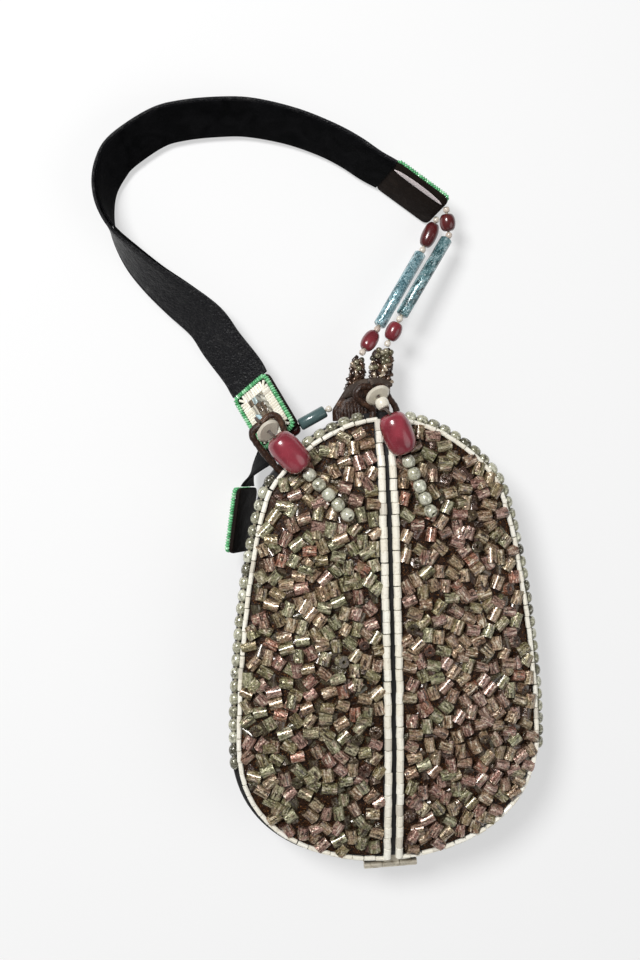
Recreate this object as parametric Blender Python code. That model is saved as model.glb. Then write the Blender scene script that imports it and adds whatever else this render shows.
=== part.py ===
"""A beaded box bag: a hollow back shell, a domed lid with two beaded fields, bead pulls and a twisted strap handle.

The bag lies on its back. +Z points out of its front, +Y points to the strap end, and the origin is the middle of
the flat back face. All sizes are in metres.
"""

import math

import bmesh
import bpy
from mathutils import Matrix, Vector

# Box
BAG_LENGTH = 0.180
BAG_WIDTH = 0.1245
BACK_DEPTH = 0.0242
BACK_INSET = 0.0140
RIM_BAND = 0.0037
RIM_LIP = 0.0010
RIM_SEAT = 0.0040
BACK_WALL = 0.0016
LINING = 0.0008
GAP = 0.0003
LID_EDGE_DEPTH = 0.0038
LID_WALL = 0.0018
SKIRT_WALL = 0.0018
CROWN = 0.0080
CROWN_POWER = 2.5
FIELD_DEPTH = 0.0030
FIELD_BED = 0.0006
FIELD_ROWS = 41
FIELD_COLUMNS = 12
BED_COLUMNS = 5
HEAP_DEPTH = 0.0020

# Bead work on the box
EDGE_BEAD = 0.0030
EDGE_PITCH = 0.0047
GROOVE = 0.0018
RIM_BEAD = 0.0043
RIM_PITCH = 0.00505
RIM_ROW_OUT = 0.0004
NECK_SHARE = 0.42

# Hinge and catch
HINGE_PIN = 0.0012
KNUCKLE = 0.0030
KNUCKLE_LENGTH = 0.0070
LEAF = 0.0008
LEAF_WIDTH = 0.0160
BEADLESS_END = 0.1880
CATCH_WIDTH = 0.0160
CATCH_REACH = 0.0040
MAGNET_DEPTH = 0.0030
CATCH_PLATE = 0.0009

# Strap, patches and their bead work
STRAP_WIDTH = 0.0192
STRAP_LEATHER = 0.0014
STRAP_VELVET = 0.0007
STRAP_GLUE = 0.0004
FLOOR_CLEARANCE = 0.0003
TAIL_WIDTH = 0.0130
TAIL_LAP = 0.0012
PATCH_LENGTH = 0.0262
PATCH_START_BACK = 0.0024
PATCH_PLATE = 0.0016
PATCH_CORNER = 0.0026
SEED_BORDER = 0.0017
BUGLE_LENGTH = 0.0032
BUGLE = 0.0012
MOSAIC = 0.0009

# Beads strung on cords
STRAP_STEPS = 2
TAIL_STEPS = 12
TAIL_SIDE_SHARE = 0.3
CORD = 0.0011
BORE = 0.0019
SEED = 0.0027
SEED_FLAT_SHARE = 0.4
RED_BEAD = 0.0064
TUBE_BEAD = 0.0050
SPACER_BEAD = 0.0060
SPACER_BEAD_LENGTH = 0.0056
SPACER_DROP = 0.0082

# Bead pulls
BARREL = 0.0120
BARREL_LENGTH = 0.0160
BARREL_END_SHARE = 0.72
DISC = 0.0100
DISC_THICK = 0.0012
DISC_REACH = 0.0046
DISC_RISE = 1.1
PULL_BEAD = 0.0054
PULL_BEAD_LENGTH = 0.0043
STRAND_BEAD = 0.0052
STRAND_PITCH = 0.00525
STRAND_COUNT = 5
LOOP_LEATHER = 0.0038
LOOP_LEG_SPREAD = 0.0096
LOOP_BAR = 0.0166
LOOP_BAR_SHARE = 0.72
LOOP_LIFT = 0.0031

# Wishbone tab
WISHBONE_THICK = 0.0042
WISHBONE_LENGTH = 0.0245
WISHBONE_WIDTH = 0.0240
WISHBONE_TILT = math.radians(6)

# Where the strap patches sit: heading in plan, drop along it and lean across it, in degrees
LEFT_PATCH_SHARES = (-0.625, 0.452)
LEFT_PATCH_DROP = 0.0057
LEFT_PATCH_TURN = (116.8, 24.0, 33.0)
RIGHT_PATCH_TURN = (-35.8, 0.0, 118.0)
RIGHT_PATCH_SHARES = (1.72, 1.05)
SIDE_PATCH_TURN = (-99.0, 0.0, 62.0)
SIDE_PATCH_SHARES = (-0.879, 0.272)
SPACER_START_SHARES = (-0.614, 0.461)

# The box's outline, from its top round the right side: shares of half its width and of its length
OUTLINE_SHARES = (
    (0.0, 0.5), (0.32, 0.5), (0.62, 0.42), (0.743, 0.355),
    (0.85, 0.30), (1.0, -0.011), (1.0, -0.233),
    (1.0, -0.397), (0.587, -0.5), (0.0, -0.5),
)
SHELL_POINTS = 40
FINE_POINTS = 400

# The back shell's bowl: shares of its inset and of its depth, from the rim band down to the flat back
BOWL_SHARES = ((0.16, 0.66), (0.36, 0.42), (0.62, 0.20), (0.84, 0.07), (1.0, 0.0))
DOME_SHARES = (0.88, 0.7, 0.45, 0.2)

# The strap's path, in shares of the span between its two ends, and its lean from flat in degrees. The links' bends
# are in the same shares, with their height as a share of the wishbone tips' height.
STRAP_SHARES = (
    (-0.03, 0.18, 31), (-0.11, 0.42, 34), (-0.17, 0.63, 38), (-0.31, 0.86, 46), (-0.44, 1.07, 58),
    (-0.54, 1.28, 70), (-0.61, 1.51, 90), (-0.61, 1.69, 105), (-0.56, 1.85, 117), (-0.46, 1.98, 128),
    (-0.33, 2.07, 133), (-0.03, 2.15, 132), (0.19, 2.14, 131), (0.46, 2.08, 130), (0.69, 2.00, 128),
    (0.97, 1.84, 124), (1.20, 1.66, 121), (1.35, 1.51, 120), (1.47, 1.36, 119),
)
LINK_RIGHT_SHARES = ((1.88, 0.64, 0.74), (1.26, 0.15, 1.04))
LINK_LEFT_SHARES = ((1.67, 0.60, 0.38), (1.08, 0.13, 0.78))

LINK_SPREAD_SHARE = 0.22

# The wishbone's tips and edges: shares of its width and length from the middle of the rim
WISHBONE_RIGHT_SHARES = ((0.20, 0.20), (0.235, 0.50), (0.29, 0.93), (0.25, 1.0), (-0.02, 1.0), (-0.06, 0.94))
WISHBONE_SLOT_SHARES = ((-0.11, 0.52), (-0.17, 0.44), (-0.22, 0.50))
WISHBONE_LEFT_SHARES = ((-0.19, 0.76), (-0.23, 0.84), (-0.36, 0.87), (-0.41, 0.82), (-0.50, 0.42), (-0.76, 0.05))
WISHBONE_RIGHT_TIP_SHARES = (0.19, 1.0)
WISHBONE_LEFT_TIP_SHARES = (-0.24, 0.87)

# Each pull: share of the outline its loop crosses, share and height of its bar, heading, and whether it has a bead
PULLS = {
    "left": (0.170, (-0.777, 0.489), -48.7, False),
    "right": (-0.0025, (-0.063, 0.562), -68.0, True),
}

MATERIALS = {
    "black_shell": ((0.012, 0.012, 0.013), 0.55, 0.0),
    "black_velvet": ((0.006, 0.006, 0.008), 0.95, 0.0),
    "lining_fabric": ((0.10, 0.07, 0.06), 0.9, 0.0),
    "hinge_metal": ((0.45, 0.42, 0.36), 0.35, 1.0),
    "field_beads": ((0.22, 0.17, 0.14), 0.18, 0.3),
    "cream_glass": ((0.72, 0.68, 0.58), 0.25, 0.0),
    "pearl_beads": ((0.33, 0.32, 0.27), 0.15, 0.5),
    "black_leather": ((0.014, 0.014, 0.015), 0.42, 0.0),
    "brown_leather": ((0.09, 0.06, 0.045), 0.5, 0.0),
    "green_seeds": ((0.10, 0.45, 0.20), 0.2, 0.0),
    "shell_mosaic": ((0.30, 0.29, 0.26), 0.2, 0.1),
    "bead_cord": ((0.60, 0.56, 0.48), 0.7, 0.0),
    "dark_red_glass": ((0.13, 0.01, 0.02), 0.15, 0.0),
    "red_resin": ((0.33, 0.03, 0.05), 0.15, 0.0),
    "blue_glass": ((0.18, 0.36, 0.42), 0.2, 0.0),
}


def clear_scene():
    for obj in list(bpy.data.objects):
        bpy.data.objects.remove(obj, do_unlink=True)


def collection(name, shown):
    found = bpy.data.collections.new(name)
    bpy.context.scene.collection.children.link(found)
    found.hide_render = not shown
    return found


def finish_of(name):
    found = bpy.data.materials.get(name)
    if found is None:
        colour, roughness, metallic = MATERIALS[name]
        found = bpy.data.materials.new(name)
        found.use_nodes = True
        shader = found.node_tree.nodes["Principled BSDF"]
        shader.inputs["Base Color"].default_value = (*colour, 1.0)
        shader.inputs["Roughness"].default_value = roughness
        shader.inputs["Metallic"].default_value = metallic
    return found


def place(name, data, finish, where=None):
    obj = bpy.data.objects.new(name, data)
    (where or PARTS).objects.link(obj)
    data.materials.append(finish_of(finish))
    return obj


def bezier(a, b, c, d, t):
    s = 1 - t
    return a * s**3 + b * 3 * s * s * t + c * 3 * s * t * t + d * t**3


def spread(points, count, closed=False):
    """The given number of points, evenly spaced along a line through the given ones."""
    line = [Vector(p) for p in points] + ([Vector(points[0])] if closed else [])
    lengths = [0.0]
    for a, b in zip(line, line[1:]):
        lengths.append(lengths[-1] + (b - a).length)
    steps = count if closed else count - 1
    found, k = [], 0
    for i in range(count):
        target = lengths[-1] * i / steps
        while k < len(line) - 2 and lengths[k + 1] < target:
            k += 1
        span = lengths[k + 1] - lengths[k]
        found.append(line[k].lerp(line[k + 1], (target - lengths[k]) / span if span else 0))
    return found


def length_of(points):
    return sum((b - a).length for a, b in zip(points, points[1:]))


def half_outline(count):
    """Points down the right half of the box's outline, from its top to its bottom."""
    anchors = [Vector((x * BAG_WIDTH / 2, y * BAG_LENGTH, 0)) for x, y in OUTLINE_SHARES]
    dense = []
    for start in (0, 3, 6):
        dense += [bezier(*anchors[start:start + 4], i / FINE_POINTS) for i in range(FINE_POINTS)]
    return spread(dense + [anchors[-1]], count)


def full_outline(count, inset=0.0):
    """The whole outline, clockwise from its top, moved inwards by the inset."""
    right = half_outline(FINE_POINTS)
    left = [Vector((-p.x, p.y, 0)) for p in reversed(right)]
    fine = right + left[1:-1]
    moved = []
    for i, p in enumerate(fine):
        along = (fine[(i + 1) % len(fine)] - fine[i - 1]).normalized()
        moved.append(p + Vector((along.y, -along.x, 0)) * inset)
    return spread(moved, count, closed=True)


def rim_point(share, out):
    """A point on the outline, and the way out: a share of the left half from the top, or of the right if negative."""
    line = [Vector((-p.x, p.y, 0)) for p in half_outline(FINE_POINTS)]
    i = min(max(round(abs(share) * (len(line) - 1)), 1), len(line) - 2)
    along = (line[i + 1] - line[i - 1]).normalized()
    away = Vector((along.y, -along.x, 0))
    at = line[i] + away * out
    side = -1 if share < 0 else 1
    return Vector((at.x * side, at.y, 0)), Vector((away.x * side, away.y, 0))


def box_point(shares, height=0.0):
    """A point in shares of half the box's width and of its length."""
    return Vector((shares[0] * BAG_WIDTH / 2, shares[1] * BAG_LENGTH, height))


REACHES = []


def edge_share(x, y):
    """How far out a point lies, from 0 at the middle of the box to 1 on its outline."""
    if not REACHES:
        for p in full_outline(2 * FINE_POINTS):
            REACHES.append((math.atan2(p.y, p.x), p.length))
        REACHES.sort()
    angle = math.atan2(y, x)
    nearest = min(REACHES, key=lambda reach: abs(reach[0] - angle))
    return min(math.hypot(x, y) / nearest[1], 1.0)


def dome(x, y):
    """Height of the lid shell's outer face."""
    return BACK_DEPTH + LID_EDGE_DEPTH + CROWN * (1 - edge_share(x, y) ** CROWN_POWER)


def field_top(x, y):
    return dome(x, y) + GAP + FIELD_DEPTH


def loft(name, rings, finish, where=None, smooth=35, twisted=False):
    """A closed body through rings that have the same number of points each.

    A twisted band is split into triangles, with the same diagonals on its two wide faces, so its wall stays even.
    """
    body = bmesh.new()
    rows = [[body.verts.new(p) for p in ring] for ring in rings]
    for a, b in zip(rows, rows[1:]):
        for i in range(len(a)):
            j = (i + 1) % len(a)
            if not twisted:
                body.faces.new((a[i], a[j], b[j], b[i]))
            elif i < len(a) // 2:
                body.faces.new((a[i], a[j], b[j]))
                body.faces.new((a[i], b[j], b[i]))
            else:
                body.faces.new((a[i], a[j], b[i]))
                body.faces.new((a[j], b[j], b[i]))
    body.faces.new(rows[0])
    body.faces.new(rows[-1])
    bmesh.ops.recalc_face_normals(body, faces=body.faces)
    if body.calc_volume(signed=True) < 0:
        bmesh.ops.reverse_faces(body, faces=body.faces)
    mesh = bpy.data.meshes.new(name)
    body.to_mesh(mesh)
    body.free()
    mesh.shade_smooth()
    mesh.set_sharp_from_angle(angle=math.radians(smooth))
    return place(name, mesh, finish, where)


def box(name, low, high, finish, where=None):
    body = bmesh.new()
    bmesh.ops.create_cube(body, size=1.0)
    low, high = Vector(low), Vector(high)
    size = high - low
    middle = (low + high) / 2
    bmesh.ops.scale(body, vec=size, verts=body.verts)
    bmesh.ops.translate(body, vec=middle, verts=body.verts)
    mesh = bpy.data.meshes.new(name)
    body.to_mesh(mesh)
    body.free()
    return place(name, mesh, finish, where)


def tube(name, points, radii, finish, sides=6, closed=False):
    """One unbroken round tube along the points, with its own radius at each."""
    curve = bpy.data.curves.new(name, "CURVE")
    curve.dimensions = "3D"
    curve.bevel_depth = max(radii)
    curve.bevel_resolution = (sides - 4) // 2
    curve.use_fill_caps = not closed
    spline = curve.splines.new("POLY")
    spline.points.add(len(points) - 1)
    for point, place_at, radius in zip(spline.points, points, radii):
        point.co = (*place_at, 1.0)
        point.radius = radius / max(radii)
    spline.use_cyclic_u = closed
    spline.use_smooth = True
    return place(name, curve, finish)


def plate(name, outline, thick, finish, frame, holes=()):
    """A flat piece with the given outline, its underside on the frame's plane."""
    curve = bpy.data.curves.new(name, "CURVE")
    curve.dimensions = "2D"
    curve.fill_mode = "BOTH"
    curve.extrude = thick / 2
    for line in (outline, *holes):
        spline = curve.splines.new("POLY")
        spline.points.add(len(line) - 1)
        for point, (x, y) in zip(spline.points, line):
            point.co = (x, y, 0.0, 1.0)
        spline.use_cyclic_u = True
    obj = place(name, curve, finish)
    obj.matrix_world = frame @ Matrix.Translation((0, 0, thick / 2))
    return obj


def bored_bead(name, length, width, end_share, bore, finish, start, end, rings=4, sides=12):
    """A turned bead with a bore along its middle, centred between the two ends."""
    profile = []
    for i in range(rings + 1):
        along = -1 + 2 * i / rings
        swell = end_share + (1 - end_share) * math.sqrt(max(0, 1 - along * along))
        profile.append((width / 2 * swell, along * length / 2))
    profile += [(bore / 2, length / 2), (bore / 2, -length / 2)]
    mesh = bpy.data.meshes.new(name)
    body = bmesh.new()
    verts = [body.verts.new((x, 0, z)) for x, z in profile]
    for i in range(len(verts)):
        body.edges.new((verts[i - 1], verts[i]))
    bmesh.ops.spin(
        body, geom=body.verts[:] + body.edges[:], axis=(0, 0, 1), cent=(0, 0, 0),
        angle=2 * math.pi, steps=sides, use_merge=True, use_duplicate=False,
    )
    bmesh.ops.remove_doubles(body, verts=body.verts, dist=GAP / 100)
    bmesh.ops.recalc_face_normals(body, faces=body.faces)
    body.to_mesh(mesh)
    body.free()
    mesh.shade_smooth()
    mesh.set_sharp_from_angle(angle=math.radians(40))
    obj = place(name, mesh, finish)
    turn = Vector((0, 0, 1)).rotation_difference(end - start).to_matrix().to_4x4()
    obj.matrix_world = Matrix.Translation((start + end) / 2) @ turn
    return obj


def union(obj, others):
    for other in others:
        joint = obj.modifiers.new("join", "BOOLEAN")
        joint.operation = "UNION"
        joint.object = other


def as_cutter(obj):
    obj.hide_render = True
    obj.display_type = "WIRE"
    return obj


def panel_frame(middle, turn):
    """A frame at a strap panel: X across it, Y along its heading and Z out of its leather face."""
    heading, drop, lean = (math.radians(angle) for angle in turn)
    along = Vector((
        math.cos(heading) * math.cos(drop), math.sin(heading) * math.cos(drop), -math.sin(drop),
    ))
    right = Vector((math.sin(heading), -math.cos(heading), 0))
    across = right * math.cos(lean) + right.cross(along) * math.sin(lean)
    normal = across.cross(along)
    frame = Matrix((across, along, normal)).transposed().to_4x4()
    frame.translation = middle
    return frame


def back_shell():
    rim = BACK_DEPTH
    band_foot = rim - RIM_BAND
    rings = [ring_at(BACK_INSET * inset, band_foot * height) for inset, height in reversed(BOWL_SHARES)]
    rings += [ring_at(-RIM_LIP, band_foot), ring_at(-RIM_LIP, rim), ring_at(RIM_SEAT, rim)]
    rings += [ring_at(RIM_SEAT, band_foot)]
    floor = BACK_WALL
    for inset, height in BOWL_SHARES[1:]:
        rings.append(ring_at(BACK_INSET * inset + 2 * BACK_WALL, floor + (band_foot - floor) * height))
    return loft("back_shell", rings, "black_shell")


def ring_at(inset, height):
    return [p + Vector((0, 0, height)) for p in full_outline(SHELL_POINTS, inset)]


def back_lining():
    """A cloth-covered tray that lines the back shell up to its rim."""
    band_foot = BACK_DEPTH - RIM_BAND
    floor = BACK_WALL + GAP
    outer = [(RIM_SEAT + GAP, BACK_DEPTH - GAP), (RIM_SEAT + GAP, band_foot)]
    for inset, height in BOWL_SHARES[1:]:
        outer.append((BACK_INSET * inset + 2 * BACK_WALL + GAP, floor + (band_foot - floor) * height))
    rings = [ring_at(inset, height) for inset, height in reversed(outer)]
    for inset, height in outer[:-1]:
        rings.append(ring_at(inset + LINING, height))
    rings.append(ring_at(outer[-1][0] + LINING, floor + LINING))
    return loft("back_lining", rings, "lining_fabric")


def dome_ring(inset, share, drop):
    """A ring of the lid's dome: the outline, drawn in and scaled, at the dome's height less the drop."""
    ring = [p * share for p in full_outline(SHELL_POINTS, inset)]
    return [Vector((p.x, p.y, dome(p.x, p.y) - drop)) for p in ring]


def skirt_inset():
    return RIM_BEAD / 2 - RIM_ROW_OUT + GAP


def lid_shell():
    outer, inner = skirt_inset(), skirt_inset() + SKIRT_WALL
    foot = BACK_DEPTH + GAP
    rings = [dome_ring(inner, share, LID_WALL) for share in reversed(DOME_SHARES)]
    rings += [dome_ring(inner, 1, LID_WALL), ring_at(inner, foot), ring_at(outer, foot)]
    rings += [dome_ring(outer, 1, 0)]
    rings += [dome_ring(outer, share, 0) for share in DOME_SHARES]
    return loft("lid_shell", rings, "black_shell")


def lid_lining():
    inset = skirt_inset() + SKIRT_WALL + GAP
    top = LID_WALL + GAP
    shares = (1.0, *DOME_SHARES)
    rings = [dome_ring(inset, share, top) for share in reversed(shares)]
    rings += [dome_ring(inset, share, top + LINING) for share in shares]
    return loft("lid_lining", rings, "lining_fabric")


def field_arc(inset, count):
    """Points down the right half of the outline moved in, from near the groove round to near the groove."""
    fine = [p for p in full_outline(2 * FINE_POINTS, inset) if p.x > field_inner()]
    fine.sort(key=lambda p: math.atan2(p.x, p.y))
    return spread(fine, count)


def field_inner():
    return GROOVE / 2 + EDGE_BEAD + GAP


def heap_dip(rows, row, column):
    """How far the beads dip at a place in a field: every other place, but not at its edges or where rows crowd."""
    edge = row in (0, len(rows) - 1) or column in (0, FIELD_COLUMNS - 1)
    if edge or (row + column) % 2:
        return 0
    apart = min(rows[row - 1].y - rows[row].y, rows[row].y - rows[row + 1].y)
    return HEAP_DEPTH if apart > HEAP_DEPTH else 0


def bead_field(side, mirror):
    """One D-shaped half of the front. Its loose beads lie in low heaps, and single beads aren't given."""
    rows = field_arc(EDGE_BEAD + GAP, FIELD_ROWS + 2)[1:-1]
    inner = field_inner()
    rings = []
    for row, p in enumerate(rows):
        ring = []
        for i in range(FIELD_COLUMNS):
            x = inner + (p.x - inner) * i / (FIELD_COLUMNS - 1)
            ring.append(Vector((mirror * x, p.y, field_top(x, p.y) - heap_dip(rows, row, i))))
        for i in reversed(range(BED_COLUMNS)):
            x = inner + (p.x - inner) * i / (BED_COLUMNS - 1)
            ring.append(Vector((mirror * x, p.y, dome(x, p.y) + FIELD_BED)))
        rings.append(ring)
    return loft(f"bead_field_{side}", rings, "field_beads")


def beads_along(points, pitch, profile):
    """Points and radii of evenly strung beads: each bead repeats the profile of (share of the pitch, radius)."""
    total = length_of(points)
    count = max(round(total / pitch), 2)
    fine = spread(points, count * 24 + 1)
    route, radii = [], []
    for i in range(count):
        for share, radius in profile:
            route.append(fine[round((i + share) * 24)])
            radii.append(radius)
    return route, radii


def edge_strand(side, mirror):
    """The cream cylinder beads strung round one field: down the outline and back up beside the groove."""
    centre = GROOVE / 2 + EDGE_BEAD / 2
    fine = [p for p in full_outline(2 * FINE_POINTS, EDGE_BEAD / 2) if p.x >= centre]
    fine.sort(key=lambda p: math.atan2(p.x, p.y))
    row = [Vector((centre, fine[-1].y, 0)).lerp(Vector((centre, fine[0].y, 0)), i / FINE_POINTS)
           for i in range(FINE_POINTS + 1)]
    radius = EDGE_BEAD / 2
    profile = ((0.0, radius * NECK_SHARE), (0.17, radius), (0.83, radius))
    route, radii = [], []
    for line in (fine, row):
        line = [Vector((p.x, p.y, dome(p.x, p.y) + GAP + radius)) for p in line]
        part, sizes = beads_along(line, EDGE_PITCH, profile)
        route += part
        radii += sizes
    route = [Vector((mirror * p.x, p.y, p.z)) for p in route]
    return tube(f"edge_beads_{side}", route, radii, "cream_glass", sides=4, closed=True)


def rim_strand(name, start, end):
    """Round beads strung along the rim between two shares of the outline, clockwise from its top."""
    line = full_outline(4 * FINE_POINTS, -RIM_ROW_OUT)
    first, last = round(start * len(line)), round(end * len(line))
    part = [line[i % len(line)] for i in range(first, last + 1)]
    height = BACK_DEPTH + GAP + RIM_BEAD / 2
    part = [p + Vector((0, 0, height)) for p in part]
    radius = RIM_BEAD / 2
    profile = ((0.0, radius * NECK_SHARE), (0.28, radius), (0.72, radius))
    route, radii = beads_along(part, RIM_PITCH, profile)
    return tube(name, route + [part[-1]], radii + [radius * NECK_SHARE], "pearl_beads", sides=6)


def rim_strands():
    """The rim beads stop for the two pull loops and round the bag's lower end, where its hinge is."""
    whole = 2 * length_of(half_outline(FINE_POINTS))
    loop = (LOOP_LEG_SPREAD + LOOP_LEATHER) / 2 + RIM_BEAD / 4 + GAP
    hinge = BEADLESS_END / 2
    left_pull, right_pull = (1 - PULLS[side][0] / 2 for side in ("left", "right"))
    rim_strand("rim_beads_right", right_pull - 1 + loop / whole, 0.5 - hinge / whole)
    rim_strand("rim_beads_left", 0.5 + hinge / whole, left_pull - loop / whole)
    rim_strand("rim_beads_top", left_pull + loop / whole, right_pull - loop / whole)


def hinge_axis():
    """A point on the lid hinge's axis, which runs along X."""
    return Vector((0, -BAG_LENGTH / 2 - RIM_LIP - GAP - KNUCKLE / 2, BACK_DEPTH + GAP / 2))


def knuckle(name, low, high, finish, where=None):
    """A hinge barrel along X between two places, with its bore."""
    axis = hinge_axis()
    turned = []
    for radius in (KNUCKLE / 2, HINGE_PIN / 2 + GAP):
        turned.append([
            (radius * math.cos(2 * math.pi * i / 12), radius * math.sin(2 * math.pi * i / 12)) for i in range(12)
        ])
    body = bmesh.new()
    rows = []
    for x in (low, high):
        rows.append([[body.verts.new((x, axis.y + y, axis.z + z)) for y, z in ring] for ring in turned])
    for i in range(12):
        j = (i + 1) % 12
        for ring in (0, 1):
            body.faces.new((rows[0][ring][i], rows[0][ring][j], rows[1][ring][j], rows[1][ring][i]))
        for end in (0, 1):
            body.faces.new((rows[end][0][i], rows[end][0][j], rows[end][1][j], rows[end][1][i]))
    bmesh.ops.recalc_face_normals(body, faces=body.faces)
    mesh = bpy.data.meshes.new(name)
    body.to_mesh(mesh)
    body.free()
    return place(name, mesh, finish, where)


def hinge():
    """Two leaves and their pin. The back leaf lies against the rim band, the lid leaf against the skirt."""
    axis = hinge_axis()
    middle = KNUCKLE_LENGTH / 2
    inner = middle + GAP
    outer = inner + KNUCKLE_LENGTH
    ends = [axis + Vector((side * outer, 0, 0)) for side in (-1, 1)]
    tube("hinge_pin", ends, [HINGE_PIN / 2] * 2, "hinge_metal", sides=8)
    shell_y = -BAG_LENGTH / 2 - RIM_LIP - GAP
    foot, notch, top = BACK_DEPTH - RIM_BAND, axis.z - KNUCKLE / 2 - GAP, axis.z - KNUCKLE / 4
    line = ((-outer, foot), (outer, foot), (outer, top), (inner, top),
            (inner, notch), (-inner, notch), (-inner, top), (-outer, top))
    rings = [[Vector((x, y, z)) for x, z in line] for y in (shell_y - LEAF, shell_y)]
    back = loft("hinge_leaf_back", rings, "hinge_metal")
    for side, low, high in (("left", -outer, -inner), ("right", inner, outer)):
        union(back, (as_cutter(knuckle(f"knuckle_{side}", low, high, "hinge_metal", CUTTERS)),))
    skirt_y = -BAG_LENGTH / 2 + skirt_inset() - GAP
    low = BACK_DEPTH + 2 * GAP
    lid = box(
        "hinge_leaf_lid", (-LEAF_WIDTH / 2, skirt_y - LEAF, low),
        (LEAF_WIDTH / 2, skirt_y, BACK_DEPTH + LID_EDGE_DEPTH - GAP), "hinge_metal",
    )
    arm = as_cutter(box(
        "leaf_arm", (GAP - middle, axis.y + HINGE_PIN / 2 + 2 * GAP, low + GAP),
        (middle - GAP, skirt_y - LEAF / 2, low + GAP + LEAF), "hinge_metal", CUTTERS,
    ))
    union(lid, (arm, as_cutter(knuckle("knuckle_lid", -middle, middle, "hinge_metal", CUTTERS))))


def catch():
    """A magnet on the back lining's wall and a steel plate under the lid lining, at the strap end."""
    inside = full_outline(FINE_POINTS, RIM_SEAT + GAP + LINING)
    wall = min(p.y for p in inside if p.y > 0 and abs(p.x) < CATCH_WIDTH / 2 + GAP) - 2 * GAP
    box(
        "catch_magnet", (-CATCH_WIDTH / 2, wall - CATCH_REACH - GAP, BACK_DEPTH - MAGNET_DEPTH),
        (CATCH_WIDTH / 2, wall - GAP, BACK_DEPTH), "hinge_metal",
    )
    under = dome(0, wall) - LID_WALL - 2 * GAP - LINING
    box(
        "catch_plate", (-CATCH_WIDTH / 2, wall - CATCH_REACH - GAP, under - CATCH_PLATE),
        (CATCH_WIDTH / 2, wall - GAP, under), "hinge_metal",
    )


def rounded(width, length, corner, steps=3):
    """A rectangle about the origin with round corners."""
    found = []
    for quarter, (sx, sy) in enumerate(((1, 1), (-1, 1), (-1, -1), (1, -1))):
        for i in range(steps + 1):
            angle = math.pi / 2 * (quarter + i / steps)
            found.append((
                sx * (width / 2 - corner) + corner * math.cos(angle),
                sy * (length / 2 - corner) + corner * math.sin(angle),
            ))
    return found


def patch(name, middle, turn, face=1):
    """A strap patch: leather plate, green seed border, ladder of cream bugles and a shell mosaic."""
    strap_frame = panel_frame(middle, turn)
    frame = strap_frame @ Matrix.Rotation(math.pi if face < 0 else 0, 4, "Y")
    width, length = STRAP_WIDTH, PATCH_LENGTH
    plate(f"{name}_plate", rounded(width, length, PATCH_CORNER), PATCH_PLATE, "brown_leather",
          frame @ Matrix.Translation((0, 0, -PATCH_PLATE / 2)))
    lift = PATCH_PLATE / 2 + GAP
    row = rounded(width - SEED_BORDER, length - SEED_BORDER, PATCH_CORNER - SEED_BORDER / 2)
    line = [frame @ Vector((x, y, lift + SEED_BORDER / 2)) for x, y in row]
    tube(f"{name}_seeds", line, [SEED_BORDER / 2] * len(line), "green_seeds", sides=6, closed=True)
    outer = SEED_BORDER + GAP
    inner = outer + BUGLE_LENGTH
    ring = rounded(width - 2 * outer, length - 2 * outer, PATCH_CORNER - outer / 2)
    window = rounded(width - 2 * inner, length - 2 * inner, PATCH_CORNER / 3)
    plate(f"{name}_bugles", ring, BUGLE, "cream_glass", frame @ Matrix.Translation((0, 0, lift)), (window,))
    inner += GAP
    middle_piece = rounded(width - 2 * inner, length - 2 * inner, PATCH_CORNER / 3)
    plate(f"{name}_mosaic", middle_piece, MOSAIC, "shell_mosaic", frame @ Matrix.Translation((0, 0, lift)))
    return strap_frame


def strap_sections(stations, thick, offset):
    """Flat sections along the strap, each a frame with X across it and Z out of its leather face."""
    rings = []
    half = STRAP_WIDTH / 2
    edge = thick / 2
    for frame in stations:
        section = (
            (-half, 0), (-half + edge, -edge), (half - edge, -edge),
            (half, 0), (half - edge, edge), (-half + edge, edge),
        )
        rings.append([frame @ Vector((x, 0, offset + z)) for x, z in section])
    return rings


def strap_height(lean):
    """The height of the strap's middle where its lower edge rests just over the floor."""
    thick = STRAP_LEATHER + STRAP_VELVET
    return FLOOR_CLEARANCE + STRAP_WIDTH / 2 * math.sin(lean) + thick * abs(math.cos(lean))


def span_point(share_along, share_across, height):
    """A point in shares of the span from the left patch to the wishbone tips."""
    span = HANDLE_END - HANDLE_START
    side = Vector((-span.y, span.x, 0))
    found = HANDLE_START + span * share_along + side * share_across
    return Vector((found.x, found.y, height))


def strap_stations(left_edge, right_edge):
    """Frames along the strap, from the left patch's far edge to the right patch's near one."""
    flats, turns = [left_edge.translation], [Vector((LEFT_PATCH_TURN[2], left_edge.translation.z, 0))]
    for along, across, lean in STRAP_SHARES:
        flats.append(span_point(along, across, 0))
        turns.append(Vector((lean, strap_height(math.radians(lean)), 0)))
    flats.append(right_edge.translation)
    turns.append(Vector((RIGHT_PATCH_TURN[2], right_edge.translation.z, 0)))
    line, twist = smooth_line(flats, STRAP_STEPS), smooth_line(turns, STRAP_STEPS)
    stations = [left_edge]
    for i in range(1, len(line) - 1):
        along = line[i + 1] - line[i - 1]
        heading = math.degrees(math.atan2(along.y, along.x))
        at = Vector((line[i].x, line[i].y, twist[i].y))
        stations.append(panel_frame(at, (heading, 0.0, twist[i].x)))
    return stations + [right_edge]


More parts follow.
